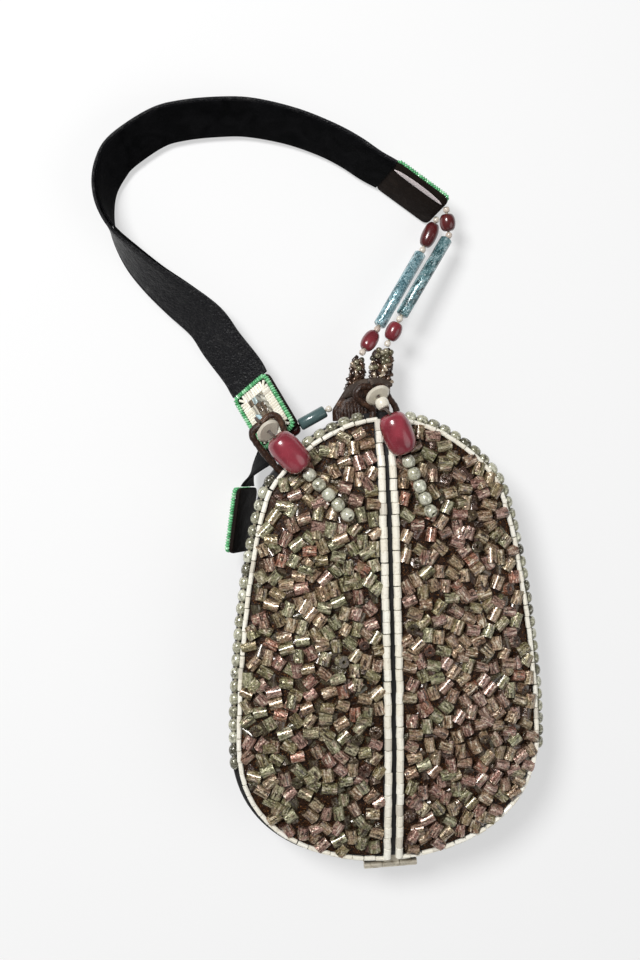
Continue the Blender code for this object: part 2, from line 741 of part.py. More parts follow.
def strap(left_edge):
    right = panel_frame(span_point(*RIGHT_PATCH_SHARES, strap_height(math.radians(RIGHT_PATCH_TURN[2]))),
                        RIGHT_PATCH_TURN)
    along = right.to_3x3() @ Vector((0, 1, 0))
    edge = right.copy()
    edge.translation = right.translation - along * (PATCH_LENGTH / 2 + GAP)
    stations = strap_stations(left_edge, edge)
    leather, velvet = (STRAP_VELVET + STRAP_GLUE) / 2, -(STRAP_LEATHER + STRAP_GLUE) / 2
    loft("strap_band", strap_sections(stations, STRAP_LEATHER, leather), "black_leather", twisted=True)
    loft("strap_velvet", strap_sections(stations, STRAP_VELVET, velvet), "black_velvet", twisted=True)
    patch("right_patch", right.translation, RIGHT_PATCH_TURN)
    return right


def side_tail(left_frame, side_frame):
    """The strap's tail, from under the left patch round to the side patch, turning as it goes."""
    under = left_frame @ Vector((
        -TAIL_WIDTH * TAIL_SIDE_SHARE, -PATCH_LENGTH / 2 + TAIL_LAP, -(PATCH_PLATE + STRAP_LEATHER) / 2 - GAP,
    ))
    end = side_frame @ Vector((0, -PATCH_LENGTH / 2 - 2 * GAP, 0))
    face = left_frame.to_3x3() @ Vector((0, 0, 1))
    way = end - under
    way = (way - face * way.dot(face)).normalized()
    first = Matrix((way.cross(face), way, face)).transposed().to_quaternion()
    last = side_frame.to_3x3() @ Matrix.Rotation(math.pi, 3, "Y")
    reach = (end - under).length
    bend = (under + way * reach / 3, end - side_frame.to_3x3() @ Vector((0, reach / 3, 0)))
    half, edge = TAIL_WIDTH / 2, STRAP_LEATHER / 2
    section = ((-half, -edge), (half, -edge), (half, edge), (-half, edge))
    rings = []
    for i in range(TAIL_STEPS + 1):
        share = i / TAIL_STEPS
        at = bezier(under, *bend, end, share)
        turn = first.slerp(last.to_quaternion(), share)
        rings.append([at + turn @ Vector((x, 0, z)) for x, z in section])
    return loft("strap_tail", rings, "black_leather", twisted=True)


def seed_bulge(at, inward, outward, radius):
    """Points and radii of one seed bead on a cord that comes in one way and goes out another."""
    flat = SEED_FLAT_SHARE * radius
    return (
        [at - inward * radius, at - inward * flat, at + outward * flat, at + outward * radius],
        [CORD / 2, radius, radius, CORD / 2],
    )


def strung(name, stops, sizes):
    """A cord through the stops, with a seed bead of the given radius at each, or none."""
    route, radii = [], []
    for i, (at, radius) in enumerate(zip(stops, sizes)):
        inward = (at - stops[i - 1] if i else stops[1] - at).normalized()
        outward = (stops[i + 1] - at if i + 1 < len(stops) else at - stops[i - 1]).normalized()
        if radius:
            points, widths = seed_bulge(at, inward, outward, radius)
        else:
            points, widths = [at], [CORD / 2]
        route += points
        radii += widths
    return tube(name, route, radii, "bead_cord", sides=6)


def bead_between(name, start, end, start_gap, end_gap, width, end_share, finish, rings=4, sides=10):
    """A bored bead that fills the cord between two stops, less the room given at each end."""
    way = (end - start).normalized()
    low, high = start + way * start_gap, end - way * end_gap
    return bored_bead(name, (high - low).length, width, end_share, BORE, finish, low, high, rings, sides)


def link(side, top, bends, tip):
    """One link of the handle: seed, red bead, seed, tube, seed, red bead and seed on a cord."""
    stops = [top, *bends, tip]
    strung(f"link_cord_{side}", stops, [SEED / 2] * 4)
    room = SEED / 2 + GAP
    bead_between(f"upper_red_bead_{side}", stops[0], stops[1], room, room, RED_BEAD, 0.45, "dark_red_glass")
    bead_between(f"link_tube_{side}", stops[1], stops[2], room, room, TUBE_BEAD, 1.0, "blue_glass", rings=1)
    bead_between(f"lower_red_bead_{side}", stops[2], stops[3], room, room, RED_BEAD, 0.45, "dark_red_glass")


def links(right_frame, tips):
    """Both links hang between the right patch's end and the wishbone's tips."""
    reach = PATCH_LENGTH / 2 + GAP + SEED / 2
    for side, across, shares in (("right", 1, LINK_RIGHT_SHARES), ("left", -1, LINK_LEFT_SHARES)):
        top = right_frame @ Vector((across * STRAP_WIDTH * LINK_SPREAD_SHARE, reach, 0))
        bends = [span_point(along, side_share, lift * tips[side].z) for along, side_share, lift in shares]
        link(side, top, bends, tips[side])


def wishbone_point(share, height):
    x, y = share
    return Vector((x * WISHBONE_WIDTH, BAG_LENGTH / 2 + RIM_LIP + GAP + y * WISHBONE_LENGTH, height))


def wishbone():
    """A flat fork that stands out from the rim band at the strap end."""
    base = [p for p in full_outline(2 * FINE_POINTS, -RIM_LIP - GAP) if p.y > 0]
    left, right = WISHBONE_LEFT_SHARES[-1][0], WISHBONE_RIGHT_SHARES[0][0]
    base = [p for p in base if left * WISHBONE_WIDTH <= p.x <= right * WISHBONE_WIDTH]
    base.sort(key=lambda p: p.x)
    line = [(p.x, p.y) for p in spread(base, 7)]
    for share in WISHBONE_RIGHT_SHARES + WISHBONE_SLOT_SHARES + WISHBONE_LEFT_SHARES:
        at = wishbone_point(share, 0)
        line.append((at.x, at.y))
    fork = plate("wishbone_tab", line, WISHBONE_THICK, "brown_leather", wishbone_frame())
    return fork


def wishbone_frame():
    hinge_line = Matrix.Translation((0, BAG_LENGTH / 2, BACK_DEPTH - RIM_BAND - WISHBONE_THICK))
    return hinge_line @ Matrix.Rotation(-WISHBONE_TILT, 4, "X") @ Matrix.Translation((0, -BAG_LENGTH / 2, 0))


def wishbone_tips():
    """Where the seed beads hang, just off the end of each leg and level with its top face."""
    out = Vector((0, SEED / 2 + 2 * GAP, WISHBONE_THICK))
    found = {}
    for side, share in (("right", WISHBONE_RIGHT_TIP_SHARES), ("left", WISHBONE_LEFT_TIP_SHARES)):
        found[side] = wishbone_frame() @ (wishbone_point(share, 0) + out)
    return found


def spacer():
    """The short strand under the left patch's inner corner, from beside it to the wishbone."""
    start = box_point(SPACER_START_SHARES, BACK_DEPTH - SPACER_DROP)
    edge = wishbone_point(WISHBONE_LEFT_SHARES[-1], WISHBONE_THICK / 2)
    end = wishbone_frame() @ (edge - Vector((SEED / 2 + GAP, 0, 0)))
    way = (end - start).normalized()
    room = SEED / 2 + GAP
    joint = start + way * (room + SPACER_BEAD_LENGTH + GAP / 2)
    strung("spacer_cord", [start, joint, end], [SEED / 2, 0, SEED / 2])
    bead_between("spacer_red_bead", start, joint, room, GAP / 2, SPACER_BEAD, 0.45, "dark_red_glass")
    bead_between("spacer_tube", joint, end, GAP / 2, room, TUBE_BEAD, 1.0, "blue_glass", rings=1)


def pull_axis(side):
    """The middle of a pull loop's bar and the heading of its strand."""
    _, shares, heading, _ = PULLS[side]
    heading = math.radians(heading)
    return box_point(shares, BACK_DEPTH + LOOP_LIFT), Vector((math.cos(heading), math.sin(heading), 0))


def pull_loop(side):
    """A rolled leather loop that comes out from under the lid's edge and carries the pull."""
    bar, _ = pull_axis(side)
    foot, away = rim_point(PULLS[side][0], -skirt_inset() + GAP)
    across = Vector((away.y, -away.x, 0))
    leg, outer = LOOP_LEG_SPREAD / 2, (LOOP_BAR - LOOP_LEATHER) / 2
    foot.z = BACK_DEPTH + 2 * GAP + LOOP_LEATHER / 2
    neck, back = away * RIM_BEAD, away * LOOP_LEATHER
    control = [foot - across * leg, foot - across * leg + neck, bar - across * outer - back]
    control += [bar - across * outer * LOOP_BAR_SHARE, bar, bar + across * outer * LOOP_BAR_SHARE]
    control += [bar + across * outer - back, foot + across * leg + neck, foot + across * leg]
    route = spread(smooth_line(control), 19)
    return tube(f"pull_loop_{side}", route, [LOOP_LEATHER / 2] * len(route), "brown_leather", sides=8)


def smooth_line(control, steps=8):
    """A smooth line through the control points."""
    found = []
    ends = [control[0] * 2 - control[1], *control, control[-1] * 2 - control[-2]]
    for a, b, c, d in zip(ends, ends[1:], ends[2:], ends[3:]):
        first, last = b + (c - a) / 6, c - (d - b) / 6
        found += [bezier(b, first, last, c, i / steps) for i in range(steps)]
    return found + [control[-1]]


def ring_round(pivot, way, slope, radius):
    """A cord's end, wound most of the way round a loop's bar and ending on the slope."""
    lift = math.atan2(slope.z, slope.dot(way))
    found = []
    for i in range(8):
        angle = lift + math.radians(60 + 300 * i / 7)
        found.append(pivot + way * math.cos(angle) * radius + Vector((0, 0, math.sin(angle) * radius)))
    return found


def barrel_ends(at, way):
    """The two ends of a barrel bead that leaves a point along its heading and rests on the lid's beads."""
    end_radius = BARREL / 2 * BARREL_END_SHARE
    start = at + way * (GAP + end_radius / 2)
    middle, end = start + way * BARREL_LENGTH / 2, start + way * BARREL_LENGTH
    over_middle = field_top(middle.x, middle.y) + 2 * GAP + BARREL / 2
    end.z = field_top(end.x, end.y) + 2 * GAP + end_radius
    start.z = max(2 * over_middle - end.z, at.z)
    return start, start + (end - start).normalized() * BARREL_LENGTH


def strand_bulges(end, way):
    """Points and radii of the round beads that lie in line behind a barrel, from just off its end."""
    radius = STRAND_BEAD / 2
    centres = []
    for i in range(STRAND_COUNT):
        flat = end + way * (GAP + radius * 1.4 + STRAND_PITCH * i)
        centres.append(Vector((flat.x, flat.y, field_top(flat.x, flat.y) + GAP + radius)))
    route, radii = [], []
    for i, centre in enumerate(centres):
        before, after = centres[max(i - 1, 0)], centres[min(i + 1, len(centres) - 1)]
        slope = (after - before).normalized()
        for share, size in ((-0.94, 0.4), (-0.55, 0.86), (0.0, 1.0), (0.55, 0.86), (0.94, 0.4)):
            if i and share == -0.94:
                continue
            route.append(centre + slope * radius * share)
            radii.append(radius * size)
    return route, radii


def bead_pull(side):
    """Disc, barrel and a strand of round beads on one cord, lying on the lid."""
    pivot, way = pull_axis(side)
    slope = (way + Vector((0, 0, DISC_RISE))).normalized()
    ring = ring_round(pivot, way, slope, LOOP_LEATHER / 2 + 2 * GAP + CORD / 2)
    under = pivot + slope * DISC_REACH
    over = under + slope * DISC_THICK
    bored_bead(f"pull_disc_{side}", DISC_THICK, DISC, 0.86, BORE, "cream_glass", under, over, rings=2, sides=16)
    route = ring + [under, over]
    at = over
    if PULLS[side][3]:
        bend = (way + Vector((0, 0, DISC_RISE / 3))).normalized()
        start = over + (slope + bend).normalized() * (GAP + PULL_BEAD / 6)
        at = start + bend * PULL_BEAD_LENGTH
        bored_bead(f"pull_bead_{side}", PULL_BEAD_LENGTH, PULL_BEAD, 0.5, BORE, "cream_glass", start, at)
        route += [start, at]
    start, end = barrel_ends(at, way)
    bored_bead(f"pull_barrel_{side}", BARREL_LENGTH, BARREL, BARREL_END_SHARE, BORE, "red_resin", start, end,
               rings=5, sides=14)
    barrel_way = (end - start).normalized()
    route += [start - barrel_way * 3 * GAP, end]
    tube(f"pull_cord_{side}", route, [CORD / 2] * len(route), "bead_cord", sides=6)
    beads, sizes = strand_bulges(end, way)
    tube(f"pull_strand_{side}", beads, sizes, "pearl_beads", sides=8)


def left_patch_middle():
    """The left patch leans on the rim: its inner edge is placed, and it runs out from there."""
    frame = panel_frame(box_point(LEFT_PATCH_SHARES, BACK_DEPTH - LEFT_PATCH_DROP), LEFT_PATCH_TURN)
    return frame @ Vector((0, PATCH_LENGTH / 2, 0))


def side_patch_middle():
    return box_point(SIDE_PATCH_SHARES, strap_height(math.radians(SIDE_PATCH_TURN[2])) + PATCH_PLATE)


clear_scene()
PARTS = collection("beaded_box_bag", True)
CUTTERS = collection("cutters", False)

back_shell()
back_lining()
lid_shell()
lid_lining()
for field_side, field_mirror in (("right", 1), ("left", -1)):
    bead_field(field_side, field_mirror)
    edge_strand(field_side, field_mirror)
rim_strands()
hinge()
catch()

TIPS = wishbone_tips()
wishbone()
LEFT_FRAME = patch("left_patch", left_patch_middle(), LEFT_PATCH_TURN)
HANDLE_START = LEFT_FRAME @ Vector((0, PATCH_LENGTH / 2 - PATCH_START_BACK, 0))
HANDLE_START.z = 0
HANDLE_END = (TIPS["left"] + TIPS["right"]) / 2
HANDLE_END.z = 0
LEFT_EDGE = LEFT_FRAME @ Matrix.Translation((0, PATCH_LENGTH / 2 + 2 * GAP, 0))
RIGHT_FRAME = strap(LEFT_EDGE)
links(RIGHT_FRAME, TIPS)
SIDE_FRAME = patch("side_patch", side_patch_middle(), SIDE_PATCH_TURN, face=-1)
side_tail(LEFT_FRAME, SIDE_FRAME)
spacer()
for pull_side in PULLS:
    pull_loop(pull_side)
    bead_pull(pull_side)
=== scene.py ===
"""The looks of a beaded box bag that lies on its back: beads, leather, velvet, shell, metal and lining.

Every size is in metres and in the model's own frame. The outline, the dome and the strap's path repeat the
model's own formulas, so each bead and band lies where its solid lies.
"""
import math
from functools import lru_cache

import bmesh
import bpy
import numpy as np
from mathutils import Matrix, Vector


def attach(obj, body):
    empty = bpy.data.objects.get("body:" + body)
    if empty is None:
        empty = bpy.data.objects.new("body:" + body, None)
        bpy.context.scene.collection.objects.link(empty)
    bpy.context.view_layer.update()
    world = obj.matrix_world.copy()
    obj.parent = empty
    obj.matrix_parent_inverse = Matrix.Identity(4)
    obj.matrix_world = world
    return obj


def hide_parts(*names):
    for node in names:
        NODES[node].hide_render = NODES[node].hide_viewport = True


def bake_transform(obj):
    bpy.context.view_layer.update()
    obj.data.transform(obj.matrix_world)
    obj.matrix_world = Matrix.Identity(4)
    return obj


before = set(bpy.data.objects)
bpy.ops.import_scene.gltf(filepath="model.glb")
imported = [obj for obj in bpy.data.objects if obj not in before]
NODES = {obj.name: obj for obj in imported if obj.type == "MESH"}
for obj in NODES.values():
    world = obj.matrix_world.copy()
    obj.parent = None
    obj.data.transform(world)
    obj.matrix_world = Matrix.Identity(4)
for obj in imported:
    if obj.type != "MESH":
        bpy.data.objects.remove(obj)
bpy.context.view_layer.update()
SCENE = bpy.context.scene
MM = 0.001

# Sizes that the model's source gives
LENGTH, WIDTH, BACK = 0.180, 0.1245, 0.0242
INSET, BAND, LIP, SEAT = 0.0140, 0.0037, 0.0010, 0.0040
WALL, CLOTH, GAP = 0.0016, 0.0008, 0.0003
LID_EDGE, LID_WALL, CROWN, CROWN_POWER = 0.0038, 0.0018, 0.0080, 2.5
FIELD = 0.0030
EDGE_BEAD, EDGE_PITCH, GROOVE = 0.0030, 0.0047, 0.0018
RIM_BEAD, RIM_PITCH, RIM_OUT = 0.0043, 0.00505, 0.0004
STRAP, STRAP_LEATHER, STRAP_VELVET, STRAP_GLUE = 0.0192, 0.0014, 0.0007, 0.0004
PATCH, PATCH_PLATE, CORNER = 0.0262, 0.0016, 0.0026
SEED, CORD, BORE = 0.0027, 0.0011, 0.0017
LOOP, LOOP_LEGS, LOOP_SHARES = 0.0038, 0.0096, (0.170, 0.0025)
BEADLESS_END = 0.1880
TAIL, TAIL_LAP, TAIL_SIDE = 0.0130, 0.0012, 0.3
SKIRT = RIM_BEAD / 2 - RIM_OUT + GAP
OUTLINE = (
    (0.0, 0.5), (0.32, 0.5), (0.62, 0.42), (0.743, 0.355),
    (0.85, 0.30), (1.0, -0.011), (1.0, -0.233),
    (1.0, -0.397), (0.587, -0.5), (0.0, -0.5),
)
BOWL = ((0.16, 0.66), (0.36, 0.42), (0.62, 0.20), (0.84, 0.07), (1.0, 0.0))

# Sizes that only the looks have
RING_POINTS, FLOOR_RING, SOFT_EDGE = 160, 0.02, 0.0004
SKIRT_WALL, DOME_SHARES = 0.0018, (0.96, 0.88, 0.7, 0.45, 0.2, 0.04)
WING_BEAD_LONG, WING_BEAD_WIDE = 0.0061, 0.0050
STANDING_SHARE, COPPER_SHARE = 0.05, 0.08
STRAND_LAP, RESIN_DEPTH, PEARL_REACH, PEARL_TOP = 0.0006, 0.0009, 0.0022, 0.0293
STRAP_BEND, STRAP_TUCK, STRAP_LINE, VELVET_INSET = 0.030, 0.0004, 0.00022, 0.0006
HINGE_ROOM = 2.4 * RIM_PITCH
PATCH_EDGE, BUGLE, BUGLE_RISE = 0.0017 + GAP, 0.0036, 0.00056

# Each layer of a wing's beads: how many, how deep, how far they lean, their margin and how bright they are
# painted, the deep layer at 0 in painted shade
WING_LAYERS = (
    (236, 0.0, 0.09, 0.0015, 1.0), (150, 0.0018, 0.25, 0.0024, 0.0), (26, -0.0006, 0.22, 0.0034, 1.0),
)
EYE, EYE_TURNS = (-0.1072, 0.1109, 0.5423), ((-9, "Y"), (-5, "X"), (-1.4, "Z"))
FLOOR_GLOW = 0.55
KEY_POWER, FILL_POWER, LOW_POWER, WORLD_LIGHT = 14.0, 2.6, 0.6, 0.16
CHANCE = np.random.default_rng(7)
SIDES = (("right", 1), ("left", -1))

# Places that the model's source works out, in millimetres
HANDLE_ENDS = ((-48.71, 100.77, 0), (-0.60, 116.45, 0))
LEFT_PATCH = ((-44.30, 92.04, 13.17), (116.8, 24.0, 33.0))
RIGHT_PATCH = ((17.57, 178.26, 9.76), (-35.8, 0.0, 118.0))
SIDE_PATCH = ((-54.72, 48.96, 11.36), (-99.0, 0.0, 62.0))
LEFT_EDGE = ((-49.95, 103.21, 7.60), LEFT_PATCH[1])
LINKS = {
    "right": ((30.69, 171.24, 13.49), (31.70, 161.05, 13.01), (9.56, 127.75, 18.28), (4.56, 118.04, 17.58)),
    "left": ((28.37, 168.03, 6.03), (22.22, 155.83, 6.81), (1.21, 123.96, 13.97), (-5.76, 114.87, 17.91)),
}
SPACER = ((-38.22, 82.98, 16.00), (-31.72, 86.44, 16.75), (-19.89, 92.74, 18.12))
PULL_CORDS = {
    "left": ((-48.98, 88.72, 30.21), (-50.12, 90.02, 28.80), (-50.33, 90.25, 26.59), (-49.49, 89.29, 24.76),
             (-48.05, 87.66, 24.29), (-46.78, 86.21, 25.42), (-46.36, 85.74, 27.56), (-47.01, 86.48, 29.56),
             (-46.33, 85.70, 30.70), (-45.79, 85.09, 31.59), (-44.76, 83.92, 38.56), (-33.64, 71.25, 37.31)),
    "right": ((-4.27, 102.02, 30.21), (-4.92, 103.62, 28.80), (-5.03, 103.91, 26.59), (-4.56, 102.73, 24.76),
              (-3.74, 100.71, 24.29), (-3.02, 98.93, 25.42), (-2.78, 98.34, 27.56), (-3.15, 99.26, 29.56),
              (-2.76, 98.29, 30.70), (-2.46, 97.54, 31.59), (-2.09, 96.62, 32.26), (-0.57, 92.88, 33.74),
              (0.01, 91.43, 39.72), (6.33, 75.78, 38.92)),
}
STRANDS = {
    "left": ((-31.04, 68.29, 36.13), (-27.57, 64.35, 37.17), (-24.11, 60.41, 38.09), (-20.64, 56.46, 38.88),
             (-17.18, 52.52, 39.57)),
    "right": ((7.81, 72.12, 37.46), (9.78, 67.26, 38.12), (11.74, 62.39, 38.71), (13.71, 57.52, 39.21),
              (15.68, 52.65, 39.65)),
}
LOOPS = {
    "left": ((-40.56, 68.66, 26.70), (-43.51, 71.79, 26.70), (-50.43, 80.87, 27.30), (-51.72, 84.86, 27.30),
             (-48.37, 88.02, 27.30), (-45.01, 91.18, 27.30), (-41.10, 89.64, 27.30), (-36.52, 78.37, 26.70),
             (-33.57, 75.24, 26.70)),
    "right": ((-4.20, 88.32, 26.70), (-4.13, 92.62, 26.70), (-10.38, 97.46, 27.30), (-8.53, 101.23, 27.30),
              (-3.92, 101.16, 27.30), (0.69, 101.09, 27.30), (2.42, 97.26, 27.30), (5.47, 92.47, 26.70),
              (5.40, 88.17, 26.70)),
}
FORK_TILT, FORK_THICK = math.radians(-6), 0.0042
FORK = (
    (-18.02, 87.7), (-14.41, 88.98), (-10.73, 90.0), (-6.98, 90.74), (-3.18, 91.18), (0.64, 91.3),
    (4.45, 91.07), (4.8, 96.2), (5.64, 103.55), (6.96, 114.08), (6.0, 115.8), (-0.48, 115.8),
    (-1.44, 114.33), (-2.64, 104.04), (-4.08, 102.08), (-5.28, 103.55), (-4.56, 109.92), (-5.52, 111.88),
    (-8.64, 112.61), (-9.84, 111.39), (-12.0, 101.59), (-18.24, 92.52),
)
FORK_LINE = [(x * MM, y * MM) for x, y in FORK]
FORK_BAR = ((-14.2, 96.6), (-11.0, 99.4), (-6.0, 101.6), (0.0, 102.2), (5.6, 101.0))
# Along the span between the handle's ends, across it, and how far the strap leans
STRAP_PATH = (
    (-0.03, 0.18, 31), (-0.11, 0.42, 34), (-0.17, 0.63, 38), (-0.31, 0.86, 46), (-0.44, 1.07, 58),
    (-0.54, 1.28, 70), (-0.61, 1.51, 90), (-0.61, 1.69, 105), (-0.56, 1.85, 117), (-0.46, 1.98, 128),
    (-0.33, 2.07, 133), (-0.03, 2.15, 132), (0.19, 2.14, 131), (0.46, 2.08, 130), (0.69, 2.00, 128),
    (0.97, 1.84, 124), (1.20, 1.66, 121), (1.35, 1.51, 120), (1.47, 1.36, 119),
)


# Materials

class Shade:
    """A socket that adds the Math nodes of the sums it stands in."""

    def __init__(self, finish, socket):
        self.finish, self.socket = finish, socket

    def math(self, kind, *values):
        return self.finish.node("ShaderNodeMath", {"operation": kind}, dict(enumerate(values)))

    def wave(self):
        return self.math("SINE", self)

    def __abs__(self):
        return self.math("ABSOLUTE", self)

    def __add__(self, other):
        return self.math("ADD", self, other)

    def __sub__(self, other):
        return self.math("SUBTRACT", self, other)

    def __rsub__(self, other):
        return self.math("SUBTRACT", other, self)

    def __mul__(self, other):
        return self.math("MULTIPLY", self, other)

    def __gt__(self, other):
        return self.math("GREATER_THAN", self, other)

    __radd__, __rmul__ = __add__, __mul__


class Finish:
    """One material and the nodes that are added to it."""

    def __init__(self, name, **constants):
        self.material = bpy.data.materials.new(name)
        self.material.use_nodes = True
        self.tree = self.material.node_tree
        self.shader = self.tree.nodes["Principled BSDF"]
        self.done(**constants)

    def fill(self, socket, value):
        if isinstance(value, Shade):
            self.tree.links.new(value.socket, socket)
        elif isinstance(value, tuple) and socket.type == "RGBA":
            socket.default_value = (*value, 1.0)
        else:
            socket.default_value = value

    def node(self, kind, settings=None, inputs=None, output=0):
        """Adds a node of a type, with its settings first and then the values or links of its sockets."""
        node = self.tree.nodes.new(kind)
        for name, value in (settings or {}).items():
            if name == "stops":
                ramp = node.color_ramp
                while len(ramp.elements) < len(value):
                    ramp.elements.new(0.5)
                for element, (place, colour) in zip(ramp.elements, value):
                    element.position = place
                    element.color = (*colour, 1.0)
            else:
                setattr(node, name, value)
        for key, value in (inputs or {}).items():
            self.fill(node.inputs[key], value)
        return Shade(self, node.outputs[output])

    def place(self, scale=(1000, 1000, 1000)):
        """The place on the piece in millimetres, stretched by the scale."""
        at = self.node("ShaderNodeTexCoord", output="Object")
        return self.node("ShaderNodeMapping", None, {"Vector": at, "Scale": scale})

    def sheet_place(self):
        """The two shares of the piece's unrolled face."""
        return self.parts(self.node("ShaderNodeTexCoord", output="UV"))[:2]

    def parts(self, vector):
        return [self.node("ShaderNodeSeparateXYZ", None, {0: vector}, output=i) for i in range(3)]

    def tones(self):
        """The three random shares that each bead carries."""
        colour = self.node("ShaderNodeAttribute", {"attribute_name": "tone"}, output="Color")
        return [self.node("ShaderNodeSeparateColor", None, {0: colour}, output=i) for i in range(3)]

    def noise(self, place, scale, detail=3.0, distortion=0.0):
        return self.node("ShaderNodeTexNoise", None,
                         {"Vector": place, "Scale": scale, "Detail": detail, "Distortion": distortion})

    def cells(self, place, scale, feature="F1"):
        return self.node("ShaderNodeTexVoronoi", {"feature": feature}, {"Vector": place, "Scale": scale})

    def ramp(self, share, stops):
        return self.node("ShaderNodeValToRGB", {"stops": stops}, {0: share})

    def step(self, share, low, high):
        """0 below low, 1 above high."""
        return self.node("ShaderNodeMapRange", None, {"Value": share, "From Min": low, "From Max": high})

    def mix(self, share, a, b):
        return self.node("ShaderNodeMix", {"data_type": "RGBA"}, {0: share, 6: a, 7: b}, 2)

    def dim(self, colour, share):
        """The colour times a share between 0 and 1."""
        return self.mix(share, (0.0, 0.0, 0.0), colour)

    def bump(self, height, depth, strength=1.0):
        self.done(Normal=self.node(
            "ShaderNodeBump", None, {"Height": height, "Distance": depth, "Strength": strength},
        ))

    def done(self, **links):
        for socket, value in links.items():
            self.fill(self.shader.inputs[socket.replace("_", " ")], value)
        return self.material


def lined_glass():
    """Tube beads with a coloured lining: mauve, olive, sage and copper, with painted highlight and painted
    shade streaked along their length, painted glints, and painted shade at their ends and on the deep layer.
    """
    f = Finish("lined_glass", Metallic=0.3, Coat_Weight=0.8, Coat_Roughness=0.06, IOR=1.55)
    hue, light, seed = f.tones()
    body = f.ramp(hue, (
        (0.00, (0.325, 0.142, 0.105)), (0.14, (0.400, 0.228, 0.185)), (0.28, (0.295, 0.172, 0.090)),
        (0.42, (0.440, 0.305, 0.182)), (0.56, (0.280, 0.222, 0.098)), (0.70, (0.255, 0.250, 0.125)),
        (0.84, (0.395, 0.382, 0.225)), (1.00, (0.390, 0.152, 0.092)),
    ))
    round_it, along = f.sheet_place()
    drawn = f.node("ShaderNodeCombineXYZ", None, {
        0: round_it * 17 + seed * 90, 1: along * 1.6 + seed * 31, 2: hue,
    })
    streak = f.noise(drawn, 1.0, 3.0, 0.25)
    speck = f.noise(f.place(), 1.5, 4.0)
    end = abs(along - 0.5)
    dark = (0.020, 0.007, 0.002)
    drift = f.noise(f.place(), 0.33, 2.0)
    body = f.mix(f.step(drift, 0.52, 0.66) * 0.6, body, (0.380, 0.226, 0.172))
    body = f.mix(f.step(drift, 0.46, 0.34) * 0.5, body, (0.285, 0.278, 0.152))
    # Dark streaks along each bead are painted shade; pale ones are painted highlights.
    body = f.mix(f.step(streak, 0.49, 0.36) * 0.90, body, dark)
    body = f.mix(f.step(streak, 0.57, 0.67) * (0.32 + light * 0.65), body, (0.92, 0.83, 0.66))
    # Dark specks are mottling of the glass; pale specks are painted glints.
    body = f.mix(f.step(speck, 0.50, 0.40) * 0.55, body, dark)
    body = f.mix(f.step(speck, 0.60, 0.68) * 0.60, body, (0.90, 0.80, 0.60))
    # Painted shade at both ends of each bead.
    body = f.mix(f.step(end, 0.465, 0.495) * 0.80, body, dark)
    # Painted shade: beads whose light share is near 0, those of the deep layer, are darkened almost to black.
    body = f.mix(f.step(light, 0.22, 0.02) * 0.75, body, (0.016, 0.006, 0.002))
    f.bump(streak * 0.5 + f.noise(f.place(), 0.9, 3.0) * 1.6, 0.00034, 0.8)
    return f.done(Base_Color=body, Roughness=0.08 + speck * 0.2)


def pearl():
    """Silvery olive beads with a mottled coat, some nearly white and some nearly black."""
    f = Finish("mottled_pearl", Metallic=0.25, Coat_Weight=0.6, Coat_Roughness=0.1)
    hue, light, _ = f.tones()
    at = f.place()
    blotch = f.step(f.noise(at, 0.62, 4.0, 0.8), 0.47, 0.60)
    body = f.ramp(hue, ((0.0, (0.050, 0.045, 0.030)), (0.25, (0.26, 0.25, 0.16)), (0.6, (0.50, 0.49, 0.35)),
                        (1.0, (0.74, 0.74, 0.60))))
    body = f.mix(blotch * (0.55 + light * 0.4), body, (0.055, 0.048, 0.028))
    body = f.mix(f.step(f.noise(at, 1.5, 2.0), 0.56, 0.64) * 0.7, body, (0.82, 0.81, 0.72))
    f.bump(f.noise(at, 1.1, 3.0), 0.00012, 0.6)
    return f.done(Base_Color=body, Roughness=0.16 + blotch * 0.22)


def cream_glass():
    f = Finish("cream_glass", Coat_Weight=0.4, Coat_Roughness=0.15)
    hue, light, _ = f.tones()
    at = f.place()
    body = f.mix(hue, (0.93, 0.90, 0.80), (0.86, 0.81, 0.68))
    body = f.mix(f.step(f.noise(at, 0.9, 4.0), 0.52, 0.78) * 0.5, body, (0.46, 0.38, 0.27))
    body = f.mix((light > 0.93) * 0.5, body, (0.45, 0.40, 0.33))
    f.bump(f.noise(at, 2.2, 3.0), 0.00006, 0.5)
    return f.done(Base_Color=body, Roughness=0.26 + f.noise(at, 1.4) * 0.2)


def seed_glass(name, low, middle, high, metal=0.0):
    """Small seed beads in one family of colours."""
    f = Finish(name, Metallic=metal, Coat_Weight=0.6, Coat_Roughness=0.08)
    hue, _, _ = f.tones()
    at = f.place()
    body = f.ramp(hue, ((0.0, low), (0.5, middle), (1.0, high)))
    body = f.mix(f.noise(at, 2.0, 2.0) * 0.5, body, f.dim(body, 0.45))
    f.bump(f.noise(at, 3.0, 2.0), 0.00005, 0.4)
    return f.done(Base_Color=body, Roughness=0.15 + f.noise(at, 1.2) * 0.2)


def red_resin(name, deep, bright):
    """Old red resin beads: glossy, with soft darker clouds and fine wear."""
    f = Finish(name, Coat_Weight=0.6, Coat_Roughness=0.10, IOR=1.5)
    at = f.place()
    cloud = f.noise(at, 0.13, 4.0, 0.5)
    scratch = f.step(f.noise(f.place((3000, 500, 1500)), 0.8, 3.0), 0.64, 0.72)
    body = f.mix(f.step(cloud, 0.38, 0.68) * 0.7, bright, deep)
    body = f.mix(scratch * 0.10, body, (0.45, 0.16, 0.16))
    f.bump(f.noise(at, 0.5, 3.0), 0.00012, 0.3)
    return f.done(Base_Color=body, Roughness=0.20 + scratch * 0.12 + f.noise(at, 0.6) * 0.12)


